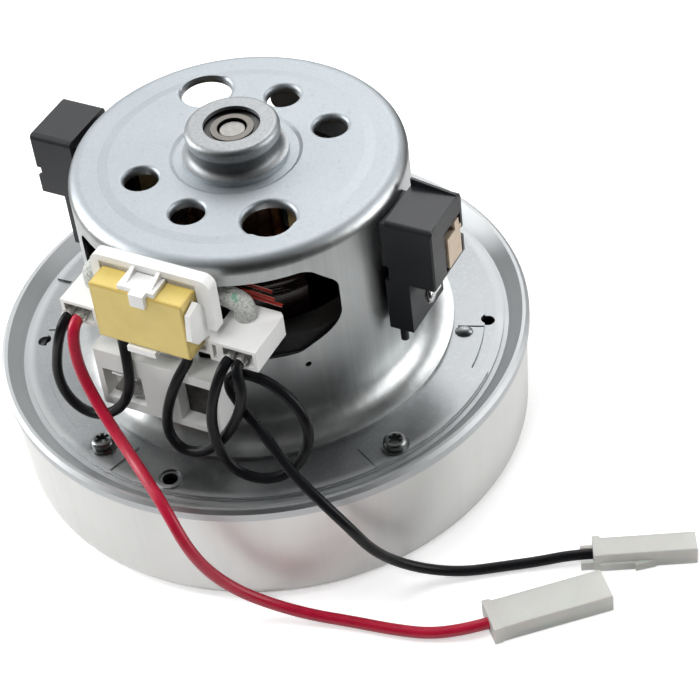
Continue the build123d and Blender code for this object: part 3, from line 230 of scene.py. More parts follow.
# the leads and jumpers, whose points are the solids' own, in metres
cords = {
    "redLead": {
        "node": "red_lead",
        "diameter": 0.0029,
        "look": "red",
        "farEnd": "connector",
        "length": 0.1487,
        "pieces": ["red_connector", "red_contact"],
        "points": [
            (-0.0197, -0.0460, 0.0659), (-0.0197, -0.0489, 0.0659), (-0.0195, -0.0510, 0.0610),
            (-0.0184, -0.0522, 0.0548), (-0.0150, -0.0538, 0.0486), (-0.0094, -0.0566, 0.0434),
            (-0.0024, -0.0606, 0.0402), (0.0054, -0.0658, 0.0392), (0.0132, -0.0708, 0.0368),
            (0.0186, -0.0734, 0.0296), (0.0224, -0.0720, 0.0206), (0.0272, -0.0686, 0.0122),
            (0.0340, -0.0648, 0.0060), (0.0424, -0.0616, 0.0024), (0.0520, -0.0592, 0.0016),
            (0.0620, -0.0578, 0.0017), (0.0710, -0.0556, 0.0017), (0.0788, -0.0514, 0.0025),
            (0.0825, -0.0480, 0.0025),
        ],
    },
    "blackLead": {
        "node": "black_lead",
        "diameter": 0.0026,
        "look": "black",
        "farEnd": "connector",
        "length": 0.2056,
        "pieces": ["black_connector", "black_contact"],
        "points": [
            (0.0210, -0.0460, 0.0663), (0.0210, -0.0489, 0.0663), (0.0199, -0.0510, 0.0626),
            (0.0181, -0.0524, 0.0562), (0.0173, -0.0530, 0.0486), (0.0184, -0.0532, 0.0412),
            (0.0218, -0.0530, 0.0358), (0.0274, -0.0516, 0.0338), (0.0330, -0.0494, 0.0350),
            (0.0372, -0.0468, 0.0400), (0.0389, -0.0452, 0.0470), (0.0372, -0.0447, 0.0536),
            (0.0323, -0.0444, 0.0584), (0.0262, -0.0444, 0.0606), (0.0204, -0.0450, 0.0602),
            (0.0188, -0.0462, 0.0566), (0.0226, -0.0472, 0.0520), (0.0298, -0.0496, 0.0464),
            (0.0376, -0.0530, 0.0410), (0.0454, -0.0550, 0.0370), (0.0520, -0.0544, 0.0296),
            (0.0548, -0.0512, 0.0204), (0.0576, -0.0460, 0.0118), (0.0630, -0.0406, 0.0054),
            (0.0702, -0.0354, 0.0020), (0.0782, -0.0298, 0.0015), (0.0856, -0.0252, 0.0016),
            (0.0921, -0.0213, 0.0025), (0.0970, -0.0188, 0.0025),
        ],
    },
    "jumperLeft": {
        "node": "jumper_left",
        "diameter": 0.0026,
        "look": "black",
        "farEnd": "object",
        "length": 0.0705,
        "pieces": [],
        "points": [
            (-0.0225, -0.0460, 0.0659), (-0.0225, -0.0488, 0.0659), (-0.0239, -0.0504, 0.0614),
            (-0.0257, -0.0502, 0.0558), (-0.0272, -0.0503, 0.0493), (-0.0267, -0.0503, 0.0430),
            (-0.0234, -0.0504, 0.0386), (-0.0180, -0.0506, 0.0378), (-0.0126, -0.0504, 0.0406),
            (-0.0086, -0.0500, 0.0454), (-0.0067, -0.0494, 0.0512), (-0.0068, -0.0485, 0.0570),
            (-0.0077, -0.0472, 0.0629), (-0.0077, -0.0472, 0.0665),
        ],
    },
    "jumperRight": {
        "node": "jumper_right",
        "diameter": 0.0026,
        "look": "black",
        "farEnd": "object",
        "length": 0.0779,
        "pieces": [],
        "points": [
            (0.0105, -0.0472, 0.0665), (0.0105, -0.0472, 0.0633), (0.0080, -0.0489, 0.0590),
            (0.0052, -0.0502, 0.0522), (0.0029, -0.0504, 0.0450), (0.0023, -0.0504, 0.0384),
            (0.0056, -0.0505, 0.0344), (0.0109, -0.0505, 0.0356), (0.0164, -0.0505, 0.0406),
            (0.0210, -0.0504, 0.0474), (0.0243, -0.0503, 0.0546), (0.0256, -0.0500, 0.0606),
            (0.0238, -0.0490, 0.0663), (0.0238, -0.0460, 0.0663),
        ],
    },
}


# glossy red with clouded tone and a few dark specks
def redInsulation():
    look = Look("redInsulation", (0.30, 0.008, 0.03), 0.4, Coat_Weight=0.2, Coat_Roughness=0.25)
    cloudy = look.noise(260, 3)
    specks = look.noise(1500, 1).rise(0.66, 0.72)
    tone = look.mix(cloudy, (0.31, 0.003, 0.020), (0.46, 0.010, 0.042))
    look.paint("Base Color", look.mix(specks * 0.7, tone, (0.12, 0.004, 0.012)))
    look.paint("Roughness", 0.30 + 0.18 * cloudy)
    look.bump(look.noise(900, 2), 0.00002)
    return look


# soft black that smears its highlights
def blackInsulation():
    look = Look("blackInsulation", (0.006, 0.006, 0.007), 0.34, Specular_IOR_Level=0.2)
    smear = look.noise(220, 3)
    look.paint("Base Color", look.mix(smear, (0.003, 0.003, 0.0035), (0.010, 0.0105, 0.012)))
    look.paint("Roughness", 0.22 + 0.2 * smear)
    look.bump(look.noise(800, 2), 0.00002)
    return look


cordLooks = {"red": redInsulation(), "black": blackInsulation()}
wireMesh = {"roundness": 5, "cordSteps": 12, "barSteps": 10}  # how finely a round wire is drawn


# a round wire along each route, eased through its points
def makeWires(name, routes, diameter, steps):
    curve = bpy.data.curves.new(name, "CURVE")
    curve.dimensions = "3D"
    curve.bevel_depth = diameter / 2
    curve.bevel_resolution = wireMesh["roundness"]
    curve.use_fill_caps = True
    for route in routes:
        line = curve.splines.new("NURBS")
        line.points.add(len(route) - 1)
        for point, place in zip(line.points, route):
            point.co = (*place, 1)
        line.order_u = 3
        line.use_endpoint_u = True
        line.resolution_u = steps
    wires = bpy.data.objects.new(name, curve)
    bpy.context.scene.collection.objects.link(wires)
    return wires


def makeCord(name, facts):
    cord = makeWires(name, [facts["points"]], facts["diameter"], wireMesh["cordSteps"])
    dress(cord, cordLooks[facts["look"]])
    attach(cord, "root")
    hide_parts(facts["node"])


for cordName, cordFacts in cords.items():
    makeCord(cordName, cordFacts)
print("cords laid")


# heights between which one finish of the can gives way to the next, and the band of painted dark
# reflection round the boss's waist
canFinishAndReflection = {"cap": (0.0838, 0.0852), "boss": (0.0862, 0.0870), "waist": (0.0882, 0.0902, 0.0012)}


# bright zinc on the drawn can: pale blue grey, fine spangle, upright draw marks on the wall, and a
# painted dark reflection round the boss's waist
def zincCan():
    look = Look("zincCan", (0.60, 0.64, 0.68), 0.3, 1.0)
    height = look.axis(2)
    cap = height.rise(*canFinishAndReflection["cap"])
    boss = height.rise(*canFinishAndReflection["boss"])
    waist = height.band(*canFinishAndReflection["waist"])
    mottle = look.noise(1500, 3, 0.7)
    cloud = look.noise(55, 4)
    grain = look.noise(900, 4, 0.7)
    spangle = look.noise(2600, 2, 0.6)
    streak = look.noise(420, 3, 0.6, (1, 1, 0.03))
    wallTone = look.mix(cloud, (0.46, 0.475, 0.48), (0.68, 0.70, 0.70))
    wallTone = look.mix(streak.rise(0.35, 0.8) * 0.35, wallTone, (0.80, 0.81, 0.80))
    capTone = look.mix(cloud, (0.49, 0.54, 0.575), (0.62, 0.66, 0.69))
    capTone = look.mix(spangle.rise(0.45, 0.75) * 0.4, capTone, (0.70, 0.74, 0.77))
    capTone = look.mix(grain.rise(0.58, 0.72) * 0.28, capTone, (0.30, 0.33, 0.36))
    bossTone = look.mix(mottle, (0.30, 0.315, 0.325), (0.62, 0.64, 0.655))
    # painted dark reflection: the boss's waist is darkened where it mirrors dark surroundings
    bossTone = look.mix(waist * (0.45 + 0.5 * mottle), bossTone, (0.05, 0.052, 0.052))
    tone = look.mix(cap, wallTone, capTone)
    look.paint("Base Color", look.mix(boss, tone, bossTone))
    rough = 0.27 + 0.12 * cloud + 0.10 * grain
    look.paint("Roughness", rough + cap * 0.17 - boss * 0.06)
    look.bump(grain * 0.6 + spangle * 0.4 + streak * (1 - cap) * 1.4, 0.000035)
    return look


# radii of the painted highlight along the plate's channel and of the painted shade down in its gutter
paintedPlateLight = {"paintedChannelHighlight": (0.0585, 0.0605), "gutter": (0.0612, 0.0630, 0.0004)}


# the plate's zinc, greyer and more mottled, with a painted highlight along its channel and painted shade
# in its gutter
def zincPlate():
    look = Look("zincPlate", (0.60, 0.61, 0.61), 0.33, 1.0)
    cloud = look.noise(70, 4)
    grain = look.noise(1100, 3, 0.7)
    radius = look.radius()
    gutter = radius.band(*paintedPlateLight["gutter"])
    tone = look.mix(cloud, (0.29, 0.305, 0.315), (0.44, 0.455, 0.465))
    tone = look.mix(grain.rise(0.5, 0.8) * 0.35, tone, (0.66, 0.68, 0.69))
    # painted shade down in the gutter
    tone = look.mix(gutter * 0.3, tone, (0.16, 0.17, 0.18))
    # painted highlight along the channel, which is also made rougher
    paintedChannelHighlight = radius.rise(*paintedPlateLight["paintedChannelHighlight"])
    tone = look.mix(paintedChannelHighlight * 0.7, tone, (0.72, 0.74, 0.75))
    look.paint("Base Color", tone)
    look.paint("Roughness", 0.28 + 0.14 * cloud + 0.08 * grain + 0.16 * paintedChannelHighlight)
    look.bump(grain, 0.00003)
    return look


# warm drawn aluminium with faint upright streaks
def coverAluminium():
    look = Look("coverAluminium", (0.74, 0.735, 0.71), 0.34, 1.0)
    cloud = look.noise(40, 4)
    streak = look.noise(260, 3, 0.65, (1, 1, 0.02))
    tone = look.mix(cloud, (0.72, 0.72, 0.705), (0.82, 0.82, 0.805))
    tone = look.mix(streak.rise(0.5, 0.8) * 0.25, tone, (0.70, 0.70, 0.685))
    look.paint("Base Color", tone)
    look.paint("Roughness", 0.40 + 0.14 * streak)
    look.bump(streak * 0.4 + look.noise(1300, 2) * 0.5, 0.00003)
    return look


# radii of the painted shade in the gap round the shaft end, of the inner ring and of the painted shade
# from the shield's start outwards
bearingTintAndShade = {
    "gap": (0.0034, 0.0036, 0.0001),
    "ring": (0.00355, 0.0052, 0.0001),
    "shieldShade": (0.0052, 0.0054),
}


# the races, shield and shaft end: painted shade past the inner ring and in the gap round the shaft end;
# the inner ring has a brown tint of grease
def bearingSteel():
    look = Look("bearingSteel", (0.4, 0.38, 0.35), 0.3, 1.0)
    cloud = look.noise(700, 4, 0.65)
    radius = look.radius()
    tone = look.mix(cloud, (0.26, 0.25, 0.235), (0.56, 0.55, 0.53))
    tone = look.mix(radius.band(*bearingTintAndShade["ring"]) * 0.8, tone, (0.20, 0.185, 0.165))
    # painted shade over the recessed shield
    tone = look.mix(radius.rise(*bearingTintAndShade["shieldShade"]) * 0.85, tone, (0.05, 0.05, 0.052))
    # painted shade in the gap round the shaft end
    tone = look.mix(radius.band(*bearingTintAndShade["gap"]), tone, (0.02, 0.02, 0.02))
    look.paint("Base Color", tone)
    look.paint("Roughness", 0.24 + 0.22 * cloud)
    look.bump(cloud, 0.00005)
    return look


# steel ground on a lathe, with fine rings round its axis
def groundSteel():
    look = Look("groundSteel", (0.6, 0.6, 0.59), 0.25, 1.0)
    cloud = look.noise(300, 3)
    inputs = {"W": look.radius(), "Scale": 6000, "Detail": 2}
    rings = look.node("ShaderNodeTexNoise", {"noise_dimensions": "1D"}, inputs, "Fac")
    look.paint("Base Color", look.mix(cloud, (0.42, 0.41, 0.39), (0.72, 0.71, 0.69)))
    look.paint("Roughness", 0.2 + 0.2 * rings)
    look.bump(rings + look.noise(1800, 3), 0.00002)
    return look


# duller zinc on the screws
def screwZinc():
    look = Look("screwZinc", (0.72, 0.72, 0.71), 0.28, 1.0)
    cloud = look.noise(700, 3)
    look.paint("Base Color", look.mix(cloud, (0.20, 0.215, 0.215), (0.46, 0.475, 0.47)))
    look.paint("Roughness", 0.22 + 0.2 * cloud)
    look.bump(cloud, 0.00003)
    return look


sheetThickness = 0.0005  # one sheet of the stack


# sheet edges show as fine rings round the stack, whose tone is painted shade, near black for the inside
# of the can
def shadedLaminations():
    look = Look("shadedLaminations", (0.16, 0.16, 0.17), 0.45, 0.85)
    sheet = (look.axis(2) * (2 * pi / sheetThickness)).maths("SINE")
    cloud = look.noise(160, 3)
    # painted shade: the stack's tone is kept near black
    tone = look.mix(cloud, (0.03, 0.03, 0.033), (0.09, 0.088, 0.085))
    look.paint("Base Color", look.mix(sheet.rise(0.2, 0.9) * 0.5, tone, (0.04, 0.04, 0.045)))
    look.paint("Roughness", 0.38 + 0.2 * cloud)
    look.bump(sheet, 0.00004)
    return look


# painted shade: enamelled copper darkened to near black for the shade inside the can
def shadedEnamelledCopper():
    look = Look("shadedEnamelledCopper", (0.10, 0.02, 0.01), 0.3, 0.6, Coat_Weight=0.5, Coat_Roughness=0.15)
    cloud = look.noise(350, 3)
    # painted shade: the enamel's tone is kept near black
    look.paint("Base Color", look.mix(cloud, (0.004, 0.003, 0.003), (0.022, 0.007, 0.005)))
    look.paint("Roughness", 0.2 + 0.15 * cloud)
    return look


# red lacquer over bright wire, on the coil ends that show in the window
def redLacquer():
    look = Look("redLacquer", (0.30, 0.025, 0.018), 0.22, 0.3, Coat_Weight=0.9, Coat_Roughness=0.08)
    cloud = look.noise(500, 2)
    look.paint("Base Color", look.mix(cloud, (0.18, 0.012, 0.010), (0.42, 0.05, 0.035)))
    return look


# bare copper, turned smooth round the shaft
def barCopper():
    look = Look("barCopper", (0.72, 0.42, 0.26), 0.3, 1.0)
    turned = look.noise(900, 2, 0.5, (0.1, 0.1, 1))
    look.paint("Base Color", look.mix(turned, (0.50, 0.27, 0.17), (0.80, 0.52, 0.35)))
    look.paint("Roughness", 0.22 + 0.2 * turned)
    look.bump(turned, 0.00003)
    return look


# rings left by four ejector pins on the outer face of each brush holder
pinMarks = {
    "face": (0.0546, 0.0548),
    "across": 0.0061,
    "height": 0.0744,
    "up": 0.0072,
    "ring": (0.0009, 0.0011, 0.0001),
}


# black or brown moulding with a fine grain, where low and high are its darkest and lightest tone
def darkMoulding(name, low, high):
    look = Look(name, low, 0.42, Coat_Weight=0.25, Coat_Roughness=0.2)
    cloud = look.noise(90, 4)
    grain = look.noise(1400, 3, 0.6)
    look.paint("Base Color", look.mix(cloud, low, high))
    look.paint("Roughness", 0.34 + 0.16 * cloud + 0.08 * grain)
    across = look.axis(1).size() - pinMarks["across"]
    up = (look.axis(2) - pinMarks["height"]).size() - pinMarks["up"]
    face = look.axis(0).size().rise(*pinMarks["face"])
    marks = face * ((across**2 + up**2) ** 0.5).band(*pinMarks["ring"])
    look.bump(grain * 0.1 + cloud * 0.05 - marks, 0.0003)
    return look


# white moulding that lets a little light under its skin
def whiteMoulding(name, low, high):
    look = Look(name, high, 0.42, Subsurface_Weight=0.12, Subsurface_Scale=0.002)
    look.shader.inputs["Subsurface Radius"].default_value = (1.0, 0.9, 0.8)
    cloud = look.noise(120, 4)
    grain = look.noise(1200, 2)
    look.paint("Base Color", look.mix(cloud, low, high))
    look.paint("Roughness", 0.36 + 0.14 * cloud)
    look.bump(grain, 0.00002)
    return look


brownEdge = 0.0009  # width of the brown along an edge


# potted box: pale yellow, browner along its edges, which are where two faces are near
def capacitorYellow():
    look = Look("capacitorYellow", (0.64, 0.49, 0.15), 0.36, Coat_Weight=0.15, Coat_Roughness=0.3)
    low, high = [np.array(corner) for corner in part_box("capacitor")]
    near = []
    for index in range(3):
        place = look.axis(index)
        gap = (place - float(low[index])).atMost(float(high[index]) - place)
        near.append(1 - gap.rise(0.0, brownEdge))
    edge = (near[0] * near[1]).atLeast(near[1] * near[2]).atLeast(near[0] * near[2])
    cloud = look.noise(150, 4)
    tone = look.mix(cloud, (0.60, 0.46, 0.12), (0.74, 0.58, 0.19))
    look.paint("Base Color", look.mix(edge * (0.4 + 0.5 * look.noise(600, 2)), tone, (0.38, 0.24, 0.05)))
    look.paint("Roughness", 0.30 + 0.15 * cloud)
    look.bump(look.noise(900, 3), 0.00003)
    return look


# rolled brass or bronze, clouded between two tones
def sheetBrass(name, low, high):
    look = Look(name, high, 0.35, 0.35)
    cloud = look.noise(300, 4)
    look.paint("Base Color", look.mix(cloud, low, high))
    look.paint("Roughness", 0.26 + 0.25 * cloud)
    look.bump(cloud, 0.00004)
    return look


# tin with the soft lumps of dipped solder
def brightTin():
    look = Look("brightTin", (0.80, 0.80, 0.80), 0.18, 1.0)
    lumps = look.noise(900, 3)
    look.paint("Base Color", look.mix(lumps, (0.62, 0.62, 0.61), (0.90, 0.90, 0.89)))
    look.paint("Roughness", 0.12 + 0.2 * lumps)
    look.bump(lumps, 0.00012)
    return look


# dull grains of pressed carbon
def pressedCarbon():
    look = Look("pressedCarbon", (0.05, 0.05, 0.055), 0.5)
    grain = look.noise(1500, 4)
    look.paint("Base Color", look.mix(grain, (0.03, 0.03, 0.033), (0.09, 0.09, 0.095)))
    look.paint("Roughness", 0.4 + 0.3 * grain)
    look.bump(grain, 0.00004)
    return look


# milky nylon that lets light through
def clearNylon():
    look = Look(
        "clearNylon", (0.84, 0.84, 0.80), 0.35, Transmission_Weight=0.45, IOR=1.46,
        Subsurface_Weight=0.2, Subsurface_Scale=0.003,
    )
    cloud = look.noise(140, 3)
    look.paint("Base Color", look.mix(cloud, (0.74, 0.735, 0.70), (0.86, 0.855, 0.82)))
    look.paint("Roughness", 0.3 + 0.15 * cloud)
    look.bump(look.noise(900, 2), 0.00003)
    return look


# woven glass sleeve, grey with a green tracer thread
def glassSleeve():
    look = Look("glassSleeve", (0.5, 0.52, 0.49), 0.8, Sheen_Weight=0.3)
    inputs = {"Vector": look.object, "Scale": 1700}
    weave = look.node("ShaderNodeTexVoronoi", {"feature": "F1"}, inputs, "Distance")
    tracer = look.noise(260, 2).rise(0.62, 0.68)
    tone = look.mix(weave, (0.66, 0.67, 0.63), (0.26, 0.28, 0.26))
    look.paint("Base Color", look.mix(tracer * 0.7, tone, (0.10, 0.34, 0.22)))
    look.bump(weave * -1, 0.0002)
    return look


# clean sheet aluminium on the fan
def fanAluminium():
    look = Look("fanAluminium", (0.78, 0.78, 0.77), 0.3, 1.0)
    cloud = look.noise(90, 4)
    look.paint("Base Color", look.mix(cloud, (0.66, 0.66, 0.65), (0.84, 0.84, 0.83)))
    look.paint("Roughness", 0.24 + 0.2 * cloud)
    look.bump(look.noise(1000, 3), 0.00003)
    return look


looks = {
    "zinc_can": zincCan(),
    "zinc_plate": zincPlate(),
    "cover_aluminium": coverAluminium(),
    "bearing_steel": bearingSteel(),
    "spring_steel": groundSteel(),
    "screw_zinc": screwZinc(),
    "lamination": shadedLaminations(),
    "copper": shadedEnamelledCopper(),
    "commutator_copper": barCopper(),
    "hub_moulding": darkMoulding("hubMoulding", (0.05, 0.035, 0.03), (0.10, 0.08, 0.07)),
    "black_moulding": darkMoulding("blackMoulding", (0.006, 0.0065, 0.008), (0.018, 0.020, 0.024)),
    "diffuser_moulding": darkMoulding("diffuserMoulding", (0.03, 0.03, 0.03), (0.07, 0.07, 0.07)),
    "white_moulding": whiteMoulding("whiteMoulding", (0.72, 0.72, 0.705), (0.81, 0.81, 0.80)),
    "block_moulding": whiteMoulding("blockMoulding", (0.74, 0.75, 0.73), (0.84, 0.85, 0.83)),
    "capacitor_yellow": capacitorYellow(),
    "brass_sheet": sheetBrass("brassSheet", (0.62, 0.43, 0.18), (0.88, 0.68, 0.35)),
    "bronze_sheet": sheetBrass("bronzeSheet", (0.50, 0.38, 0.27), (0.82, 0.68, 0.53)),
    "tin": brightTin(),
    "carbon": pressedCarbon(),
    "clear_nylon": clearNylon(),
    "glass_sleeve": glassSleeve(),
    "fan_aluminium": fanAluminium(),
    "red_insulation": cordLooks["red"],
    "black_insulation": cordLooks["black"],
}
for row in frame["record"]["subparts"]:
    dress(nodes[row["node"]], looks[row["material_slot"]])
print("nodes dressed")

# wire is the wire's radius, which cover and tightest are counted in, and the angle is in degrees
winding = {
    "wire": 0.00052,
    "pitch": 0.00118,
    "innerRadius": 0.0258,
    "halfAngle": 55,
    "thickness": 0.0088,
    "roundness": 0.0075,
    "cover": 1.2,
    "tightest": 1.6,
    "squareness": 3,
    "steps": 180,
    "sides": 6,
}


# turns of wire round a pole: each turn is a rounded rectangle in angle and height, bent to a radius,
# and the wire is a circle carried along it
def makeWinding(name, node, middleAngle):
    low, high = [np.array(corner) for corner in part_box(node)]
    outer = abs(high[1]) if middleAngle > 0 else abs(low[1])
    halfAngle = radians(winding["halfAngle"])
    wire = winding["wire"]
    cover = wire * winding["cover"]
    depthLayers = np.arange(winding["innerRadius"] + cover, outer - wire, winding["pitch"])
    insetLayers = np.arange(cover, winding["thickness"], winding["pitch"])
    turns = [(radius, insetLayers[0]) for radius in depthLayers]
    turns += [(depthLayers[-1], inset) for inset in insetLayers[1:]]
    turns += [(depthLayers[0], inset) for inset in insetLayers[1:]]
    turn = np.linspace(0, 2 * pi, winding["steps"], endpoint=False)
    around = np.linspace(0, 2 * pi, winding["sides"], endpoint=False)
    cells = quadsOfGrid(len(turn), len(around), True, True).reshape(-1, 4)
    allPoints = []
    allQuads = []
    centreZ = (low[2] + high[2]) / 2
    for number, (radius, inset) in enumerate(turns):
        halfWide = radius * halfAngle - inset
        halfTall = (high[2] - low[2]) / 2 - inset
        corner = max(winding["roundness"] - inset, wire * winding["tightest"])
        # a rounded rectangle as a circle of the corner's radius pushed out to the corners
        flatX = np.clip(np.cos(turn) * winding["squareness"], -1, 1) * (halfWide - corner)
        flatZ = np.clip(np.sin(turn) * winding["squareness"], -1, 1) * (halfTall - corner)
        x = flatX + np.cos(turn) * corner
        z = flatZ + np.sin(turn) * corner
        angle = x / radius + radians(middleAngle)
        centre = np.stack([np.cos(angle) * radius, np.sin(angle) * radius, z + centreZ], -1)
        tangent = np.roll(centre, -1, 0) - np.roll(centre, 1, 0)
        tangent /= np.linalg.norm(tangent, axis=1, keepdims=True)
        outward = np.stack([np.cos(angle), np.sin(angle), np.zeros_like(angle)], -1)
        sideways = np.cross(tangent, outward)
        circle = np.cos(around)[None, :, None] * outward[:, None]
        circle += np.sin(around)[None, :, None] * sideways[:, None]
        allPoints.append((centre[:, None] + wire * circle).reshape(-1, 3))
        allQuads.append(cells + number * len(turn) * len(around))
    piece = meshFrom(name, np.concatenate(allPoints), np.concatenate(allQuads))
    dress(piece, looks["copper"])
    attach(piece, "root")


makeWinding("frontWinding", "field_coil_front", -90)
makeWinding("rearWinding", "field_coil_rear", 90)
print("coils wound")

# the coil's red ends beside the right sleeve
coilLeads = {
    "diameter": 0.0009,
    "routes": [
        [
            (0.0120, -0.0333, 0.0752), (0.0172, -0.0331, 0.0753),
            (0.0215, -0.0330, 0.0751), (0.0262, -0.0322, 0.0738),
        ],
        [
            (0.0125, -0.0336, 0.0740), (0.0178, -0.0334, 0.0741),
            (0.0232, -0.0330, 0.0738), (0.0278, -0.0318, 0.0722),
        ],
        [
            (0.0120, -0.0322, 0.0764), (0.0170, -0.0322, 0.0764),
            (0.0208, -0.0318, 0.0760), (0.0250, -0.0310, 0.0748),
        ],
    ],
}


def makeBars(name, routes, diameter, look):
    bars = makeWires(name, routes, diameter, wireMesh["barSteps"])
    dress(bars, look)
    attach(bars, "root")


makeBars("coilLeads", coilLeads["routes"], coilLeads["diameter"], redLacquer())

# tinned crimps on the cord ends that enter the wings
crimps = {
    "diameter": 0.0032,
    "length": 0.0013,
    "root": 0.0004,
    "ends": [("redLead", 0), ("blackLead", 0), ("jumperLeft", 0), ("jumperRight", -1)],
}


def makeCrimps():
    steps = (crimps["root"], -crimps["length"] / 2, -crimps["length"])
    routes = []
    for cordName, end in crimps["ends"]:
        x, y, z = cords[cordName]["points"][end]
        routes.append([(x, y + step, z) for step in steps])
    makeBars("crimps", routes, crimps["diameter"], looks["tin"])


makeCrimps()
print("coil leads and crimps added")

# a lump's grid and lobes, and how near two points lie when they merge
lumps = {"columns": 48, "rows": 25, "lobes": 3, "phase": 1, "merge": 1e-7}


# the doubled points at each pole become one
def closePoles(piece):
    shell = bmesh.new()
    shell.from_mesh(piece.data)
    bmesh.ops.remove_doubles(shell, verts=shell.verts, dist=lumps["merge"])
    shell.to_mesh(piece.data)
    shell.free()


# rounded lumps: ellipsoids whose radius swells and dips by a share, once for each lobe
def makeLumps(name, spots, radii, swell, look):
    columns = lumps["columns"]
    rows = lumps["rows"]
    turns = np.linspace(0, 2 * pi, columns, endpoint=False)
    turn, rise = np.meshgrid(turns, np.linspace(0, pi, rows), indexing="ij")
    cells = quadsOfGrid(columns, rows, True, False).reshape(-1, 4)
    lobes = np.sin(lumps["lobes"] * turn + lumps["phase"])
    lump = 1 + swell * lobes * np.sin(rise) * np.cos(2 * rise)
    shell = np.stack([np.cos(turn) * np.sin(rise), np.sin(turn) * np.sin(rise), np.cos(rise)], -1)
    points = []
    quads = []
    for number, (place, heading) in enumerate(spots):
        local = shell * lump[..., None] * np.array(radii)
        x = local[..., 0] * cos(heading) - local[..., 1] * sin(heading)
        y = local[..., 0] * sin(heading) + local[..., 1] * cos(heading)
        points.append((np.stack([x, y, local[..., 2]], -1) + np.array(place)).reshape(-1, 3))
        quads.append(cells + number * turn.size)
    piece = meshFrom(name, np.concatenate(points), np.concatenate(quads))
    closePoles(piece)
    dress(piece, look)
    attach(piece, "root")


# pressed pips on the plate beside its lanced holes, set on the plate's own surface
pips = {
    "radius": 0.0514,
    "angles": (17.2, -159.0),
    "radii": (0.0023, 0.0018, 0.0013),
    "swell": 0.0,
    "beside": 0.0032,
    "above": 0.06,
}
pipSpots = []
for pipAngle in map(radians, pips["angles"]):
    pipX = pips["radius"] * cos(pipAngle)
    pipY = pips["radius"] * sin(pipAngle)
    beside = pips["radius"] - pips["beside"]
    above = Vector((beside * cos(pipAngle), beside * sin(pipAngle), pips["above"]))
    pipFloor = nodes["fan_bracket"].ray_cast(above, Vector((0, 0, -1)))[1].z
    pipSpots.append(((pipX, pipY, pipFloor), pipAngle))
makeLumps("pressedPips", pipSpots, pips["radii"], pips["swell"], looks["zinc_plate"])

# solder on the tabs under the brush holders
solder = {
    "radii": (0.0011, 0.0017, 0.0022),
    "swell": 0.22,
    "spots": [((0.0514, -0.0044, 0.0600), 0.0), ((-0.0514, 0.0044, 0.0600), pi)],
}
makeLumps("solderBlobs", solder["spots"], solder["radii"], solder["swell"], looks["tin"])
print("pips and solder added")


# a piece that starts as the same shape as a CAD node
def copyOf(node, name):
    piece = nodes[node].copy()
    piece.data = nodes[node].data.copy()
    piece.name = name
    bpy.context.scene.collection.objects.link(piece)
    return piece


# the brush springs, each a copy of its node with a mesh of its own
springs = {
    "rightSpring": {"node": "brush_spring_right", "joint": "right_brush_slide", "seat": 0.0528},
    "leftSpring": {"node": "brush_spring_left", "joint": "left_brush_slide", "seat": -0.0528},
}


def makeSpring(name, facts):
    spring = copyOf(facts["node"], name)
    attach(spring, "root")
    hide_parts(facts["node"])
    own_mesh(spring)


for springName, springFacts in springs.items():
    makeSpring(springName, springFacts)

flushTop = 0.08275


# the real left holder has a plain top, so the ridge along its copy comes down almost flush
def makeLeftHolder():
    leftHolder = copyOf("brush_holder_left", "leftHolder")
    vertices = leftHolder.data.vertices
    places = np.empty(len(vertices) * 3, np.float32)
    vertices.foreach_get("co", places)
    places[2::3] = np.minimum(places[2::3], flushTop)
    vertices.foreach_set("co", places)
    leftHolder.data.update()
    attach(leftHolder, "root")
    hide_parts("brush_holder_left")


makeLeftHolder()
print("left holder levelled")

# painted shade: a dark sheet at the back of the block's open socket, where the hollow is in shade
socket = {"x": (0.0047, 0.0141), "z": (0.0411, 0.0541), "back": -0.0431, "front": -0.0434}


def makeSocketShade():
    x0, x1 = socket["x"]
    z0, z1 = socket["z"]
    outline = [(x0, z0), (x1, z0), (x1, z1), (x0, z1)]
    corners = [(x, y, z) for y in (socket["back"], socket["front"]) for x, z in outline]
    faces = [[3, 2, 1, 0], [4, 5, 6, 7], [1, 5, 4, 0], [2, 6, 5, 1], [3, 7, 6, 2], [0, 4, 7, 3]]
    # painted shade: the sheet is near black
    look = Look("paintedSocketShade", (0.05, 0.05, 0.05), 0.4, 0.8)
    cloud = look.noise(300, 3)
    look.paint("Base Color", look.mix(cloud, (0.02, 0.02, 0.02), (0.13, 0.125, 0.12)))
    plate = meshFrom("paintedSocketShade", np.array(corners), np.array(faces), False)
    dress(plate, look)
    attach(plate, "root")


makeSocketShade()
print("socket lined")

# the sky's bright side is aimed by skyBack and skyUp, and fades between the two skyEdge values
stage = {
    "floor": 16.0,
    "floorHeight": -0.0002,
    "floorColour": (0.80, 0.80, 0.80),
    "floorGlow": 0.42,
    "farFloor": (0.03, 0.03, 0.032),
    "nearRadius": 0.115,
    "farRadius": 0.20,
    "whiteRadius": 1.0,
    "darkSky": 0.02,
    "brightSky": 1.05,
    "skyBack": 0.75,
    "skyUp": 0.66,
    "skyEdge": (0.58, 0.96),
}


# a pale floor, white far off, that metal sees fall off to black away from the part
def makeFloor():
    look = Look("floor", stage["floorColour"], 0.6, Emission_Strength=1.0)
    mirrored = look.node("ShaderNodeLightPath", {}, {}, "Is Glossy Ray")
    seen = look.node("ShaderNodeLightPath", {}, {}, "Is Camera Ray")
    away = look.radius().rise(stage["nearRadius"], stage["farRadius"])
    look.paint("Base Color", look.mix(mirrored * away, stage["floorColour"], stage["farFloor"]))
    far = look.radius().rise(stage["farRadius"], stage["whiteRadius"])
    glow = (stage["floorGlow"],) * 3
    look.paint("Emission Color", look.mix(seen, (0, 0, 0), look.mix(far, glow, (1, 1, 1))))
    half = stage["floor"] / 2
    low = stage["floorHeight"]
    corners = np.array([(-half, -half, low), (half, -half, low), (half, half, low), (-half, half, low)])
    floor = meshFrom("floor", corners, np.array([[0, 1, 2, 3]]), False)
    dress(floor, look)


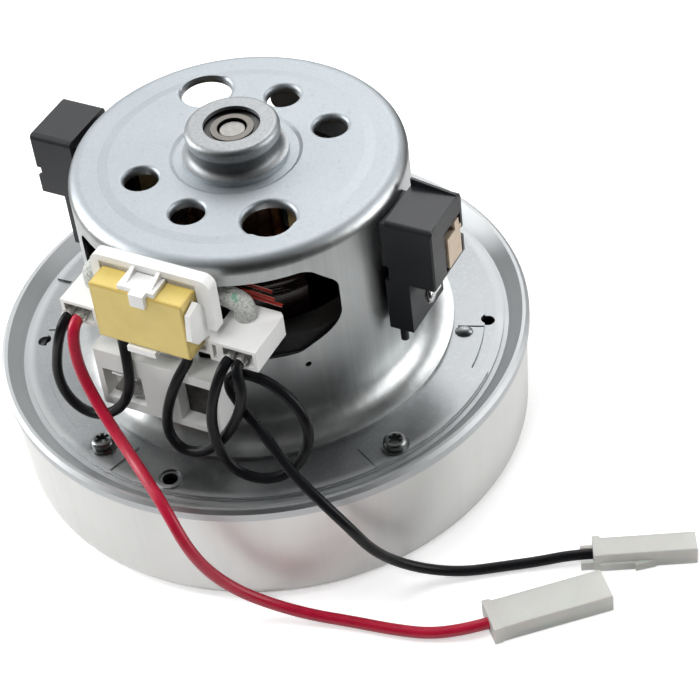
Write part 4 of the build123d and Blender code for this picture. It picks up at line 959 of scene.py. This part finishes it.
# the studio is bright overhead and behind the part and dark on the camera's side
def makeStudio():
    world = bpy.data.worlds.new("studio")
    world.use_nodes = True
    bpy.context.scene.world = world
    tree = world.node_tree
    back = tree.nodes["Background"]
    coords = tree.nodes.new("ShaderNodeTexCoord")
    facing = tree.nodes.new("ShaderNodeVectorMath")
    fade = tree.nodes.new("ShaderNodeMapRange")
    rays = tree.nodes.new("ShaderNodeLightPath")
    strength = tree.nodes.new("ShaderNodeMix")
    az = radians(camera["azimuth"])
    lean = stage["skyBack"]
    facing.operation = "DOT_PRODUCT"
    facing.inputs[1].default_value = (-lean * sin(az), lean * cos(az), stage["skyUp"])
    fade.interpolation_type = "SMOOTHSTEP"
    fade.inputs["From Min"].default_value = stage["skyEdge"][0]
    fade.inputs["From Max"].default_value = stage["skyEdge"][1]
    fade.inputs["To Min"].default_value = stage["darkSky"]
    fade.inputs["To Max"].default_value = stage["brightSky"]
    strength.inputs[3].default_value = 1.0  # plain white where the camera looks past the part
    tree.links.new(coords.outputs["Generated"], facing.inputs[0])
    tree.links.new(facing.outputs["Value"], fade.inputs["Value"])
    tree.links.new(rays.outputs["Is Camera Ray"], strength.inputs[0])
    tree.links.new(fade.outputs[0], strength.inputs[2])
    tree.links.new(strength.outputs[0], back.inputs["Strength"])
    back.inputs["Color"].default_value = (1, 1, 1, 1)


lampTarget = (0, 0, 0.04)
lamps = {
    "overLamp": {"place": (-0.2, -0.25, 1.2), "size": (0.4, 0.4), "power": 6, "mirrored": False},
    "topLamp": {"place": (-0.15, 0.75, 0.95), "size": (0.6, 0.5), "power": 2.2},
    "leftLamp": {"place": (-1.0, -0.25, 0.45), "size": (0.45, 0.9), "power": 10},
    "rightLamp": {"place": (0.9, 0.5, 0.35), "size": (0.7, 1.0), "power": 7},
    "frontLamp": {"place": (0.1, -0.9, 1.2), "size": (0.3, 0.3), "power": 6.5, "mirrored": False},
}


# a soft rectangle of light that faces the part, left out of mirrored light where it says so
def makeLamp(name, facts):
    data = bpy.data.lights.new(name, "AREA")
    data.shape = "RECTANGLE"
    data.size, data.size_y = facts["size"]
    data.energy = facts["power"]
    lamp = bpy.data.objects.new(name, data)
    aim = Vector(lampTarget) - Vector(facts["place"])
    turn = aim.to_track_quat("-Z", "Y").to_matrix().to_4x4()
    lamp.visible_glossy = facts.get("mirrored", True)
    lamp.matrix_world = Matrix.Translation(facts["place"]) @ turn
    bpy.context.scene.collection.objects.link(lamp)


makeFloor()
makeStudio()
for lampName, lampFacts in lamps.items():
    makeLamp(lampName, lampFacts)
bpy.context.scene.view_settings.view_transform = "Standard"
print("stage lit")
